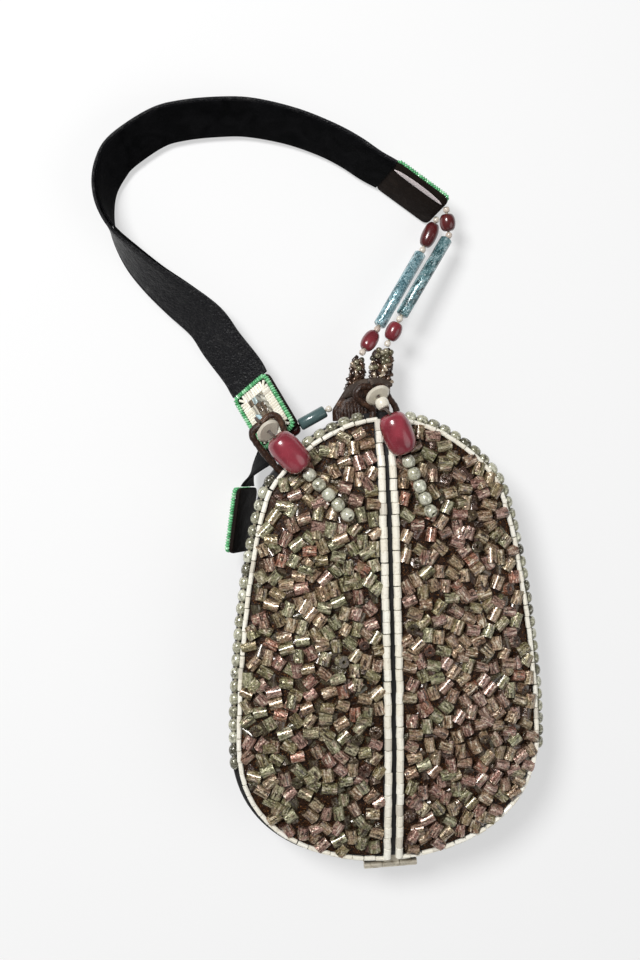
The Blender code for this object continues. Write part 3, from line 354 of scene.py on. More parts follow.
def foil_glass(name, deep, pale):
    """Tube beads with crumpled bright foil in blue-green glass, with painted white glints."""
    f = Finish(name, Coat_Weight=0.9, Coat_Roughness=0.04, IOR=1.5)
    at = f.place()
    round_it, along = f.sheet_place()
    warped = f.noise(at, 0.45, 2.0)
    laid_on = f.node("ShaderNodeCombineXYZ", None, {
        0: round_it * 11 + warped * 3, 1: along * 13 + warped * 3, 2: warped,
    })
    flake = f.noise(laid_on, 1.0, 4.0, 0.6)
    glint = f.noise(at, 1.7, 3.0)
    dim = tuple(0.35 * c for c in deep)
    middle = tuple(0.5 * (a + b) for a, b in zip(deep, pale))
    stops = (0.30, dim), (0.42, deep), (0.50, middle), (0.58, pale), (0.70, (0.72, 0.88, 0.90))
    body = f.ramp(flake, stops)
    body = f.mix(f.step(glint, 0.46, 0.38) * 0.6, body, dim)
    # White spots: painted glints on the foil.
    body = f.mix(f.step(glint, 0.60, 0.66) * 0.7, body, (0.80, 0.93, 0.93))
    f.bump(flake + glint * 0.4, 0.00040, 0.6)
    return f.done(Base_Color=body, Roughness=0.10 + glint * 0.2, Metallic=f.step(flake, 0.40, 0.65) * 0.5)


def leather(name, dark, worn, grain=0.9, gloss=0.40, scuffs_and_glints=0.5, shine=0.30, creases=0.00028):
    """Grained leather, scuffed paler where it is rubbed, with fine pale flecks that are painted glints."""
    f = Finish(name, Specular_IOR_Level=shine)
    at = f.place()
    pores = f.cells(at, grain, "DISTANCE_TO_EDGE")
    folds = f.noise(at, 0.11, 5.0, 0.5)
    rub = f.step(f.noise(f.place((600, 600, 600)), 0.19, 6.0, 1.2), 0.54, 0.72) * scuffs_and_glints
    body = f.mix(folds, dark, tuple(1.5 * c for c in dark))
    body = f.mix(rub * 0.7, body, worn)
    # Fine pale flecks in the worn colour: painted glints.
    body = f.mix(f.step(f.noise(at, 1.3, 3.0), 0.58, 0.66) * scuffs_and_glints * 0.5, body, worn)
    f.bump(f.step(pores, 0.0, 0.25) * 0.2 + f.noise(at, 0.5, 6.0) * 1.2 + folds * 1.2, creases, 0.8)
    return f.done(Base_Color=body, Roughness=gloss + f.noise(at, 0.3, 4.0) * 0.22 - rub * 0.10)


def velvet():
    f = Finish("strap_velvet_cloth", Sheen_Weight=0.03, Sheen_Roughness=0.4, Roughness=0.95,
               Specular_IOR_Level=0.04)
    at = f.place()
    nap = f.noise(at, 2.4, 5.0)
    lay = f.noise(at, 0.12, 4.0, 1.0)
    body = f.mix(f.step(lay, 0.35, 0.7), (0.0012, 0.0013, 0.0016), (0.0048, 0.0048, 0.0055))
    f.bump(nap + lay, 0.00035, 0.9)
    return f.done(Base_Color=body)


def shell_black():
    """Black lacquered board, with a fine pebble and dust."""
    f = Finish("black_shell_board", Coat_Weight=0.15, Coat_Roughness=0.4)
    at = f.place()
    dust = f.step(f.noise(at, 0.35, 7.0), 0.58, 0.75)
    body = f.mix(dust * 0.25, (0.011, 0.011, 0.012), (0.06, 0.058, 0.055))
    f.bump(f.cells(at, 1.4) * 0.6 + f.noise(at, 0.8, 5.0), 0.00018, 0.6)
    return f.done(Base_Color=body, Roughness=0.46 + dust * 0.25)


def lining():
    """Brown woven cloth."""
    f = Finish("woven_lining", Sheen_Weight=0.2, Roughness=0.9)
    at = f.place()
    x, y, _ = f.parts(at)
    warp, weft = abs((x * 4.2).wave()), abs((y * 4.2).wave())
    cloud = f.noise(at, 0.06, 4.0)
    body = f.mix(cloud, (0.075, 0.048, 0.038), (0.13, 0.090, 0.070))
    body = f.mix(warp * weft * 0.6, body, (0.21, 0.16, 0.13))
    f.bump(warp * 0.5 + weft * 0.5, 0.00022, 0.8)
    return f.done(Base_Color=body)


def old_brass():
    """Brass of the hinge, worn pale."""
    f = Finish("old_brass", Metallic=0.7)
    at = f.place()
    tarnish = f.step(f.noise(at, 0.5, 6.0, 0.6), 0.42, 0.68)
    body = f.mix(tarnish, (0.74, 0.68, 0.56), (0.50, 0.44, 0.34))
    f.bump(f.noise(f.place((5000, 500, 500)), 0.7, 3.0), 0.00005, 0.4)
    return f.done(Base_Color=body, Roughness=0.42 + tarnish * 0.2)


def nickel():
    f = Finish("dull_nickel", Metallic=1.0)
    at = f.place()
    brushed = f.noise(f.place((4000, 300, 300)), 0.8, 3.0)
    spot = f.step(f.noise(at, 0.8, 5.0), 0.60, 0.72)
    body = f.mix(spot, (0.52, 0.51, 0.49), (0.30, 0.27, 0.23))
    f.bump(brushed, 0.00004, 0.5)
    return f.done(Base_Color=body, Roughness=0.25 + brushed * 0.2 + spot * 0.2)


def thread(name, pale, dark):
    """Twisted thread, whose plies turn round the cord."""
    f = Finish(name, Roughness=0.85, Sheen_Weight=0.15)
    along, round_it = f.sheet_place()
    ply = abs((along * 3.14159 * 2 + round_it * 150).wave())
    body = f.mix(ply, dark, pale)
    f.bump(ply, 0.00015, 0.9)
    return f.done(Base_Color=body)


def mosaic():
    """Chips of shell: cream, grey and brown, finely striped, with a few of pale blue, and painted white glints
    on some.
    """
    f = Finish("shell_chips", Coat_Weight=0.8, Coat_Roughness=0.06)
    hue, light, turn = f.tones()
    at = f.place()
    x, y, z = f.parts(at)
    wobble = f.noise(at, 0.5, 3.0) * 4
    stripe = f.step((((x + z) * (0.2 + turn) + y * (1.4 - turn)) * 2.6 + wobble).wave(), -0.3, 0.6)
    body = f.ramp(hue, ((0.0, (0.10, 0.065, 0.040)), (0.25, (0.24, 0.19, 0.13)), (0.45, (0.50, 0.46, 0.36)),
                        (0.62, (0.30, 0.29, 0.24)), (0.78, (0.72, 0.68, 0.56)), (0.90, (0.45, 0.66, 0.72)),
                        (1.0, (0.62, 0.80, 0.84))))
    body = f.mix(stripe * 0.75, body, f.dim(body, 0.28))
    # White spots on some chips: painted glints.
    body = f.mix(f.step(f.noise(at, 1.2, 3.0), 0.6, 0.70) * light, body, (0.90, 0.88, 0.82))
    f.bump(stripe * 0.3 + f.noise(at, 1.0, 3.0), 0.00014, 0.7)
    return f.done(Base_Color=body, Roughness=0.12 + stripe * 0.15, Metallic=light * 0.2)


def bead_bed():
    """Dark brown resin under the loose beads, its own dark brown darkened further as painted shade in the gaps,
    with painted orange glints.
    """
    f = Finish("bead_bed_resin", Specular_IOR_Level=0.20)
    at = f.place()
    lump = f.noise(at, 0.7, 5.0)
    glint = f.step(f.noise(at, 1.9, 3.0), 0.60, 0.66)
    # Near-black browns: the resin's colour with the painted shade of the gaps in it.
    body = f.mix(f.step(lump, 0.4, 0.65), (0.008, 0.003, 0.001), (0.036, 0.012, 0.003))
    # Orange spots: painted glints of the beads beneath.
    body = f.mix(glint * 0.7, body, (0.36, 0.16, 0.05))
    f.bump(lump + glint * 0.3, 0.0007, 0.9)
    return f.done(Base_Color=body, Roughness=0.34 + lump * 0.2)


# The box's own forms

def shifted(ring, inset):
    """A closed line, each point moved to the right of its heading."""
    along = np.roll(ring, -1, 0) - np.roll(ring, 1, 0)
    along /= np.linalg.norm(along, axis=1)[:, None]
    return ring + np.column_stack([along[:, 1], -along[:, 0]]) * inset


def outline(count, inset=0.0):
    """Points all round the box, clockwise from its top, moved inwards by the inset."""
    points = np.array(OUTLINE) * (WIDTH / 2, LENGTH)
    t = np.linspace(0, 1, 400, endpoint=False)[:, None]
    half = []
    for a, b, c, d in (points[0:4], points[3:7], points[6:10]):
        half.append(a * (1 - t)**3 + 3 * b * t * (1 - t)**2 + 3 * c * t * t * (1 - t) + d * t**3)
    half = np.concatenate(half + [points[9:10]])
    return spaced(shifted(np.concatenate([half, half[-2:0:-1] * (-1, 1)]), inset), count, closed=True)


def spaced(line, count, closed=False):
    """The given number of points, evenly spaced along a line."""
    line = np.asarray(line, float)
    if closed:
        line = np.concatenate([line, line[:1]])
    run = np.concatenate([[0], np.cumsum(np.linalg.norm(np.diff(line, axis=0), axis=1))])
    at = np.linspace(0, run[-1], count + (1 if closed else 0))[:count]
    return np.column_stack([np.interp(at, run, line[:, k]) for k in range(line.shape[1])])


def run_length(line):
    return float(np.linalg.norm(np.diff(line, axis=0), axis=1).sum())


@lru_cache
def polar(inset):
    """The outline's angles and reaches from the middle, in order of angle."""
    ring = outline(1600, inset)
    angles = np.arctan2(ring[:, 1], ring[:, 0])
    order = np.argsort(angles)
    return angles[order], np.linalg.norm(ring, axis=1)[order]


def reach(x, y, inset=0.0):
    """How far the outline lies from the middle, in the direction of a point."""
    return np.interp(np.arctan2(y, x), *polar(inset), period=2 * math.pi)

def dome(x, y):
    """Height of the lid shell's outer face."""
    share = np.minimum(np.hypot(x, y) / reach(x, y), 1.0)
    return BACK + LID_EDGE + CROWN * (1 - share**CROWN_POWER)


def dome_normal(x, y):
    step = 0.5 * MM
    slope = Vector((dome(x - step, y) - dome(x + step, y), dome(x, y - step) - dome(x, y + step), 2 * step))
    return slope.normalized()


def level_rings(places):
    """A level ring for each pair of inset and height."""
    return [
        np.column_stack([outline(RING_POINTS, inset), np.full(RING_POINTS, height)]) for inset, height in places
    ]


def dome_rings(inset, shares, drop):
    """A ring under the dome for each share of the outline's reach."""
    rings = []
    for share in shares:
        flat = outline(RING_POINTS, inset) * share
        rings.append(np.column_stack([flat, dome(flat[:, 0], flat[:, 1]) - drop]))
    return rings


# Modelling helpers

def only(obj):
    """Selects one object alone and makes it active."""
    bpy.ops.object.select_all(action="DESELECT")
    obj.select_set(True)
    bpy.context.view_layer.objects.active = obj
    return obj


def editing(obj, kind="VERT"):
    only(obj)
    bpy.ops.object.mode_set(mode="EDIT")
    bpy.ops.mesh.select_mode(type=kind)


def face_out():
    """Turns all faces of the mesh that is being edited outwards."""
    bpy.ops.mesh.select_all(action="SELECT")
    bpy.ops.mesh.normals_make_consistent(inside=False)


def rest():
    bpy.ops.object.mode_set(mode="OBJECT")


def hold(test):
    """Selects the vertices that pass a test on their place, in the mesh that is being edited."""
    bpy.ops.mesh.select_all(action="DESELECT")
    body = bmesh.from_edit_mesh(bpy.context.object.data)
    for vertex in body.verts:
        if test(vertex.co):
            vertex.select_set(True)
    body.select_flush(True)
    bmesh.update_edit_mesh(bpy.context.object.data)


def with_modifier(obj, kind, **settings):
    """Adds a modifier and applies it."""
    only(obj)
    modifier = obj.modifiers.new(kind.lower(), kind)
    for name, value in settings.items():
        setattr(modifier, name, value)
    bpy.ops.object.modifier_apply(modifier=modifier.name)
    return obj


def sheet(rows):
    """A grid whose rows of points are laid through the given ones."""
    rows = np.asarray(rows, float)
    count, across = rows.shape[:2]
    bpy.ops.mesh.primitive_grid_add(x_subdivisions=across - 1, y_subdivisions=count - 1, size=0.1)
    obj = bpy.context.object
    obj.data.vertices.foreach_set("co", rows.reshape(-1).astype(np.float32))
    obj.data.update()
    return obj


def lofted(rings):
    """A closed skin through closed rings, with both of its ends filled."""
    rings = np.asarray(rings, float)
    obj = sheet(np.concatenate([rings, rings[:, :1]], axis=1))
    editing(obj)
    bpy.ops.mesh.select_all(action="SELECT")
    bpy.ops.mesh.remove_doubles(threshold=1e-6)
    bpy.ops.mesh.fill_holes(sides=0)
    face_out()
    rest()
    return obj


def slab(line, low, high, edge, segments=2):
    """A flat piece with the given outline, its edges rounded."""
    bpy.ops.mesh.primitive_circle_add(vertices=len(line), radius=0.01, fill_type="NGON")
    obj = bpy.context.object
    for vertex, (x, y) in zip(obj.data.vertices, line):
        vertex.co = (x, y, low)
    editing(obj, "FACE")
    bpy.ops.mesh.select_all(action="SELECT")
    bpy.ops.mesh.extrude_region_move(TRANSFORM_OT_translate={"value": (0, 0, high - low)})
    face_out()
    rest()
    return with_modifier(obj, "BEVEL", width=edge, segments=segments, limit_method="ANGLE", angle_limit=0.9)


def turned(profile, sides, bore):
    """A bead turned on a lathe: (height, radius) from one end to the other, with a bore along its middle."""
    (low, radius), (high, _) = profile[0], profile[-1]
    bpy.ops.mesh.primitive_cylinder_add(
        vertices=sides, radius=radius, depth=high - low, end_fill_type="NOTHING",
        location=(0, 0, (low + high) / 2),
    )
    bpy.ops.object.transform_apply(location=True)
    obj = bpy.context.object
    editing(obj)
    for height, _ in profile[1:-1]:
        bpy.ops.mesh.select_all(action="SELECT")
        bpy.ops.mesh.bisect(plane_co=(0, 0, height), plane_no=(0, 0, 1))
    near = (high - low) * 1e-3
    for height, wide in profile:
        if abs(wide - radius) > 1e-7:
            hold(lambda at: abs(at.z - height) < near)
            bpy.ops.transform.resize(value=(wide / radius, wide / radius, 1), center_override=(0, 0, height))
    bpy.ops.mesh.select_mode(type="EDGE")
    for height, wide in (profile[0], profile[-1]):
        hold(lambda at: abs(at.z - height) < near)
        bpy.ops.mesh.extrude_edges_move()
        bpy.ops.transform.resize(value=(bore / 2 / wide, bore / 2 / wide, 1), center_override=(0, 0, height))
    hold(lambda at: at.xy.length < bore / 2 * 1.01)
    bpy.ops.mesh.bridge_edge_loops()
    face_out()
    rest()
    return obj


def round_profile(length, width, end_share, rings):
    """A bulging profile, from its narrow ends to its full width."""
    found = []
    for i in range(rings + 1):
        along = -math.cos(math.pi * i / rings)
        swell = end_share + (1 - end_share) * math.sqrt(max(0.0, 1 - along * along))
        found.append((along * length / 2, width / 2 * swell))
    return found


def tube_profile(length, width, chamfer):
    """A straight profile with a small chamfer at each end."""
    end = length / 2
    return [(-end, width / 2 - chamfer), (-end + chamfer, width / 2), (end - chamfer, width / 2),
            (end, width / 2 - chamfer)]


def laid(centre, way, roll=0.0, scale=(1, 1, 1)):
    """A frame at a place, with its Z along the way."""
    turn = Vector((0, 0, 1)).rotation_difference(Vector(way).normalized()).to_matrix().to_4x4()
    size = Matrix.Diagonal((*scale, 1))
    return Matrix.Translation(Vector(centre)) @ turn @ Matrix.Rotation(roll, 4, "Z") @ size


def toned(mesh, tone):
    colour = mesh.attributes.new("tone", "FLOAT_COLOR", "POINT")
    colour.data.foreach_set("color", np.tile((*tone, 1.0), len(mesh.vertices)).astype(np.float32))


def joined(made):
    bpy.ops.object.select_all(action="DESELECT")
    for obj in made:
        obj.select_set(True)
    bpy.context.view_layer.objects.active = made[0]
    if len(made) > 1:
        bpy.ops.object.join()
    return made[0]


def any_roll():
    return CHANCE.uniform(0, 6)


def linked(mesh, name):
    obj = bpy.data.objects.new(name, mesh)
    SCENE.collection.objects.link(obj)
    return obj


def strewn(pattern, frames, tones=None, last=True):
    """Copies of a bead, each with its own mesh and tone, joined into one piece.

    The pattern goes with its last use.
    """
    made = []
    for i, place in enumerate(frames):
        mesh = pattern.data.copy()
        mesh.transform(place)
        toned(mesh, tones[i] if tones is not None else CHANCE.random(3))
        made.append(linked(mesh, "bead"))
    piece = joined(made)
    if last:
        bpy.data.objects.remove(pattern)
    return piece


def settle(obj, name, finish, body, node=None, angle=40, blend=None):
    """Gives a finished piece its name and its finish, hides the solid it stands for, and gives it its body;
    given a blend, it bakes the piece's place into its mesh and gives it no body.
    """
    only(obj)
    obj.name = obj.data.name = name
    dress(obj, finish)
    bpy.ops.object.shade_smooth_by_angle(angle=math.radians(angle))
    if node:
        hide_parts(node)
    if blend:
        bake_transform(obj)
    else:
        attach(obj, body)


def dress(obj, finish):
    obj.data.materials.clear()
    obj.data.materials.append(FINISHES[finish])


def bow(a, b, c, d, t):
    """A point on a cubic curve."""
    s = 1 - t
    return a * s**3 + b * 3 * s * s * t + c * 3 * s * t * t + d * t**3


def smooth(control, steps=8):
    """A smooth line through the control points."""
    control = [Vector(p) for p in control]
    ends = [control[0] * 2 - control[1], *control, control[-1] * 2 - control[-2]]
    found = []
    for a, b, c, d in zip(ends, ends[1:], ends[2:], ends[3:]):
        found += [bow(b, b + (c - a) / 6, c - (d - b) / 6, c, i / steps) for i in range(steps)]
    return found + [control[-1]]


def millimetres(points):
    return [Vector(p) * MM for p in points]


def steps_of(stops, i):
    """The step from the stop before one to the stop after it."""
    return stops[min(i + 1, len(stops) - 1)] - stops[max(i - 1, 0)]


def along_line(line):
    """A frame at each point of a line, which turns as little as it can from one to the next."""
    line = [Vector(p) for p in line]
    frames, side = [], None
    for i, at in enumerate(line):
        way = steps_of(line, i).normalized()
        side = way.orthogonal() if side is None else side - way * side.dot(way)
        side.normalize()
        frames.append((at, side.copy(), way.cross(side), way))
    return frames


def pipe(line, radii, sides=10, flat=1.0):
    """A round or flattened tube along a line."""
    turns = [(math.cos(angle), math.sin(angle)) for angle in (2 * math.pi * k / sides for k in range(sides))]
    return lofted([
        [tuple(at + side * x * radius + up * y * radius * flat) for x, y in turns]
        for (at, side, up, _), radius in zip(along_line(line), radii)
    ])


def corded(stops, count, name, finish, body, node):
    """A cord through its stops."""
    cord = pipe(spaced([tuple(p) for p in stops], count), [CORD / 2] * count, 8)
    settle(cord, name, finish, body, node)


def turned_place(node):
    """Centre, axis, length and width of a turned solid."""
    mesh = NODES[node].data
    co = np.empty(len(mesh.vertices) * 3, np.float32)
    mesh.vertices.foreach_get("co", co)
    co = np.unique(np.round(co.reshape(-1, 3), 6), axis=0).astype(float)
    centre = (co.min(0) + co.max(0)) / 2
    for _ in range(2):
        values, vectors = np.linalg.eigh(np.cov((co - centre).T))
        odd = 0 if values[2] - values[1] < values[1] - values[0] else 2
        axis = vectors[:, odd]
        along = (co - centre) @ axis
        centre = centre + axis * (along.min() + along.max()) / 2
    off = co - centre
    wide = np.linalg.norm(off - np.outer(off @ axis, axis), axis=1).max()
    return Vector(centre), Vector(axis), float(np.ptp(off @ axis)), float(2 * wide)


def panel(place):
    """A frame at a strap panel: X across it, Y along its heading and Z out of its leather face."""
    middle, turn = place
    heading, drop, lean = (math.radians(angle) for angle in turn)
    along = Vector((
        math.cos(heading) * math.cos(drop), math.sin(heading) * math.cos(drop), -math.sin(drop),
    ))
    right = Vector((math.sin(heading), -math.cos(heading), 0))
    across = right * math.cos(lean) + right.cross(along) * math.sin(lean)
    made = Matrix((across, along, across.cross(along))).transposed().to_4x4()
    made.translation = Vector(middle) * MM
    return made


# The pieces

def shells():
    """The back shell and the lid, with round edges."""
    band, foot = BACK - BAND, BACK + GAP
    back = level_rings((
        (INSET + FLOOR_RING, 0), *((INSET * inset, band * height) for inset, height in reversed(BOWL)),
        (SOFT_EDGE - LIP, band), (-LIP, band + SOFT_EDGE), (-LIP, BACK - SOFT_EDGE), (SOFT_EDGE - LIP, BACK),
        (SEAT, BACK), (SEAT, band),
        *((INSET * inset + 2 * WALL, WALL + (band - WALL) * height) for inset, height in BOWL[1:]),
    ))
    settle(lofted(back), "back_shell_board", "shell", "root", "back_shell", 30)
    inner = SKIRT + SKIRT_WALL
    lid = dome_rings(inner, (*DOME_SHARES[::-1], 1), LID_WALL) + level_rings(((inner, foot), (SKIRT, foot)))
    lid += dome_rings(SKIRT, (1,), 0.0003) + dome_rings(SKIRT, (0.994, *DOME_SHARES), 0)
    settle(lofted(lid), "lid_shell_board", "shell", "lid", "lid_shell", 30)


def linings():
    """Both cloth linings, with the soft welt that their cut edge is turned over."""
    band, floor = BACK - BAND, WALL + GAP
    outer = [(SEAT + GAP, BACK - GAP), (SEAT + GAP, band)]
    outer += [(INSET * inset + 2 * WALL + GAP, floor + (band - floor) * height) for inset, height in BOWL[1:]]
    last = outer[-1][0]
    tray = level_rings((
        (last + FLOOR_RING, floor), *reversed(outer),
        *((inset + CLOTH, height) for inset, height in outer[:-1]), (last + CLOTH, floor + CLOTH),
    ))
    for share in (0.8, 0.5, 0.2):
        flat = outline(RING_POINTS, last + CLOTH) * share
        swell = 0.0005 * np.sin(flat[:, 0] * 160) * np.cos(flat[:, 1] * 130)
        tray.append(np.column_stack([flat, floor + CLOTH + 0.0004 + swell * 0.6]))
    settle(lofted(tray), "back_lining_cloth", "lining", "root", "back_lining", 50)
    inset, top = SKIRT + SKIRT_WALL + GAP, LID_WALL + GAP
    roof = dome_rings(inset, (*DOME_SHARES[::-1], 1.0), top)
    roof += dome_rings(inset, (1.0, *DOME_SHARES), top + CLOTH)
    settle(lofted(roof), "lid_lining_cloth", "lining", "lid", "lid_lining", 50)


def inside_wing(points, margin):
    """Whether points of the right half lie inside its cream strand, by the margin."""
    far = reach(points[:, 0], points[:, 1], EDGE_BEAD + margin - STRAND_LAP)
    return (np.linalg.norm(points, axis=1) < far) & (points[:, 0] > GROOVE / 2 + EDGE_BEAD + margin + GAP)


def packed(count, margin):
    """Places and headings of loose beads in the right wing that have pushed each other apart."""
    tries, rounds, push_share, twist_share, most_twist = 24, 90, 0.22, 0.10, 0.2
    at = np.empty((0, 2))
    while len(at) < count:
        more = CHANCE.uniform((0, -LENGTH / 2), (WIDTH / 2, LENGTH / 2), (tries, 2))
        more = more[inside_wing(more, margin)]
        far = np.linalg.norm(more[:, None] - at[None], axis=2).min(1, initial=1.0)
        at = np.concatenate([at, more[[far.argmax()]]])
    grain = np.sin(at[:, 0] * 70 + 1.0) + np.cos(at[:, 1] * 55) + np.sin((at[:, 0] + at[:, 1]) * 95)
    turn = grain * 0.9 + CHANCE.integers(0, 2, count) * math.pi / 2 + CHANCE.normal(0, 0.35, count)
    disc = WING_BEAD_WIDE * 0.92
    off = (WING_BEAD_LONG - disc) / 2
    own = np.tile(np.eye(count), (2, 2))
    for _ in range(rounds):
        way = np.column_stack([np.cos(turn), np.sin(turn)]) * off
        discs = np.concatenate([at + way, at - way])
        apart = discs[:, None] - discs[None]
        near = np.linalg.norm(apart, axis=2) + own
        push = (apart / near[..., None] * np.clip(disc - near, 0, None)[..., None]).sum(1)
        one, other = push[:count], push[count:]
        moved = at + (one + other) * push_share
        at = np.where(inside_wing(moved, margin)[:, None], moved, at)
        twist = way[:, 0] * (one - other)[:, 1] - way[:, 1] * (one - other)[:, 0]
        turn = turn + np.clip(twist / off**2 * twist_share, -most_twist, most_twist)
    return at, turn


def sink_in(beads):
    """Flattens what lies deeper than the resin, and what would press on the pearls of the rim."""
    co = np.empty(len(beads.data.vertices) * 3, np.float32)
    beads.data.vertices.foreach_get("co", co)
    co = co.reshape(-1, 3)
    room = reach(co[:, 0], co[:, 1]) - PEARL_REACH
    far = np.hypot(co[:, 0], co[:, 1])
    co[:, :2] *= np.where((co[:, 2] < PEARL_TOP) & (far > room), room / far, 1.0)[:, None]
    co[:, 2] = np.maximum(co[:, 2], dome(co[:, 0], co[:, 1]) - RESIN_DEPTH)
    beads.data.vertices.foreach_set("co", co.reshape(-1))
    beads.data.update()


def loose_bead(x, y, turn, mirror, drop, lean):
    """A frame for a bead of a wing's layer, lying on the dome or standing on end."""
    normal = dome_normal(x, y)
    way = Vector((math.cos(turn), math.sin(turn), 0))
    way = way - normal * way.dot(normal) + normal * CHANCE.normal(0, lean)
    stands = CHANCE.random() < STANDING_SHARE
    if stands:
        way = normal + way * 0.4
    size, stretch = CHANCE.uniform(0.88, 1.03), CHANCE.uniform(0.84, 1.06) * (0.8 if stands else 1)
    height = dome(x, y) + GAP + FIELD - WING_BEAD_WIDE * size / 2 - drop - CHANCE.uniform(0, 0.0007)
    height -= 0.0006 if stands else 0
    way.x *= mirror
    return laid((x * mirror, y, height), way, CHANCE.uniform(0, 1), (size, size, stretch))


def wing_tone(y, mirror, shine):
    """A loose bead's hue, light and seed: more green to the lower left, now and then copper; the light share
    sets its painted highlight and, at 0, its painted shade.
    """
    greens = (0.30 + 0.45 * (0.5 - y / LENGTH)) if mirror < 0 else 0.28
    if CHANCE.random() < greens:
        hue = CHANCE.uniform(0.50, 0.92)
    else:
        hue = CHANCE.choice((CHANCE.uniform(0.0, 0.5), 1.0), p=(1 - COPPER_SHARE, COPPER_SHARE))
    return hue, shine * CHANCE.uniform(0.15, 1.0), CHANCE.random()


def wing(side, mirror):
    """One half of the front: a dark bed and its loose tube beads, in three layers."""
    frames, tones = [], []
    for count, drop, lean, margin, shine in WING_LAYERS:
        places, turns = packed(count, margin)
        for (x, y), turn in zip(places, turns):
            frames.append(loose_bead(x, y, turn, mirror, drop, lean))
            tones.append(wing_tone(y, mirror, shine))
    end, radius, cut = WING_BEAD_LONG / 2, WING_BEAD_WIDE / 2, 0.00012
    face = radius - 0.00035
    bead = turned([(-end, face), (cut - end, radius), (end - cut, radius), (end, face)], 8, 0.0018)
    beads = strewn(bead, frames, tones)
    sink_in(beads)
    settle(beads, f"wing_beads_{side}", "glass", "lid", f"bead_field_{side}", 50)
    near = GROOVE / 2 + EDGE_BEAD + GAP
    arc = outline(400, EDGE_BEAD - STRAND_LAP)
    arc = arc[arc[:, 0] > near]
    arc = spaced(arc[np.argsort(np.arctan2(arc[:, 0], arc[:, 1]))], 61)[1:-1]
    rows = []
    for x, y in arc:
        xs = np.linspace(near, x, 14)
        rows.append(np.column_stack([xs * mirror, np.full(14, y), dome(xs, y) + 0.0002]))
    bed = with_modifier(sheet(rows), "SOLIDIFY", thickness=0.0006, offset=1.0 if mirror > 0 else -1.0)
    settle(bed, f"wing_bed_{side}", "bed", "lid")


def strung_places(line, pitch):
    """Centres and ways of beads strung evenly along a line."""
    line = np.asarray(line, float)
    count = max(round(run_length(line) / pitch), 2)
    fine = spaced(line, count * 2 + 1)
    return [(Vector(fine[2 * i + 1]), Vector(fine[2 * i + 2] - fine[2 * i])) for i in range(count)]


def cream_strands():
    """Cream tube beads down the groove and, smaller, round the outside of each wing."""
    wide = turned(tube_profile(0.00466, 0.0030, 0.00020), 10, 0.0012)
    thin = turned(tube_profile(0.00462, 0.0019, 0.00016), 8, 0.0008)
    centre = GROOVE / 2 + EDGE_BEAD / 2
    ring = outline(1600, EDGE_BEAD / 2)
    arc = ring[ring[:, 0] >= centre]
    arc = arc[np.argsort(np.arctan2(arc[:, 0], arc[:, 1]))]
    column = np.column_stack([np.full(200, centre), np.linspace(arc[-1, 1], arc[0, 1], 200)])
    for side, mirror in SIDES:
        made = []
        for pattern, line, radius, slack in ((thin, arc, 0.0010, 0.04), (wide, column, 0.0015, 0.07)):
            x, y = line.T
            line = np.column_stack([x * mirror, y, dome(x, y) + GAP + radius])
            frames = []
            for at, way in strung_places(line, EDGE_PITCH):
                way = way.normalized() + Vector(CHANCE.normal(0, slack, 3)) * 0.4
                at = at + Vector((*CHANCE.normal(0, 0.00010, 2), 0))
                frames.append(laid(at, way, any_roll(), (1, 1, CHANCE.uniform(0.95, 1.0))))
            made.append(strewn(pattern, frames, last=mirror == SIDES[-1][1]))
        settle(joined(made), f"cream_strand_{side}", "cream", "lid", f"edge_beads_{side}", 30)


def rim_rows():
    """Round pearl beads round the rim, but not at the pull loops and the lower end."""
    line = outline(3200, 0.0001 - RIM_OUT)
    whole = run_length(np.concatenate([outline(800), outline(800)[:1]]))
    loop = ((LOOP_LEGS + LOOP) / 2 + RIM_BEAD / 4 + GAP) / whole
    hinge = (BEADLESS_END / 2 - HINGE_ROOM) / whole
    left, right = 1 - LOOP_SHARES[0] / 2, 1 + LOOP_SHARES[1] / 2
    pearl_bead = turned(round_profile(0.00460, RIM_BEAD + 0.0002, 0.40, 7), 14, 0.0011)
    height = BACK + GAP + RIM_BEAD / 2
    for name, start, end in (("right", right - 1 + loop, 0.5 - hinge), ("left", 0.5 + hinge, left - loop),
                             ("top", left + loop, right - loop)):
        span = [line[i % len(line)] for i in range(round(start * len(line)), round(end * len(line)) + 1)]
        span = np.column_stack([span, np.full(len(span), height)])
        frames = []
        for at, way in strung_places(span, RIM_PITCH):
            size = CHANCE.uniform(0.93, 1.0)
            frames.append(laid(at, way + Vector(CHANCE.normal(0, 0.0002, 3)), any_roll(),
                               (size, size, CHANCE.uniform(0.94, 1.05))))
        beads = strewn(pearl_bead, frames, last=name == "top")
        settle(beads, f"rim_pearls_{name}", "pearl", "root", f"rim_beads_{name}", 60)
        settle(pipe(spaced(span, 60), [0.0005] * 60, 6), f"rim_thread_{name}", "thread", "root")


def turned_piece(
    node, name, finish, body, profile_of, sides, bore=BORE, angle=50, tone=(0.5, 0.5, 0.5),
):
    """A lathe-turned bead in a turned solid's place."""
    centre, axis, length, width = turned_place(node)
    bead = turned(profile_of(length, width), sides, bore)
    bead.data.transform(laid(centre, axis))
    toned(bead.data, tone)
    settle(bead, name, finish, body, node, angle)


def red_drop(node, finish, body):
    turned_piece(node, node.replace("bead", "drop"), finish, body,
                 lambda length, width: round_profile(length, width, 0.42, 12), 28)


def foil_tube(node, name, finish, body):
    turned_piece(node, name, finish, body,
                 lambda length, width: tube_profile(length, width, 0.0005), 28)


def seed_row(stops, name, body):
    """Pale seed beads at the stops of a cord."""
    pattern = turned(round_profile(SEED * 0.86, SEED, 0.52, 6), 16, CORD)
    beads = strewn(pattern, [laid(at, way, any_roll()) for at, way in zip(stops, bend_ways(stops))])
    settle(beads, name, "pale_seed", body, None, 60)


def bend_ways(stops):
    return [steps_of(stops, i).normalized() for i in range(len(stops))]


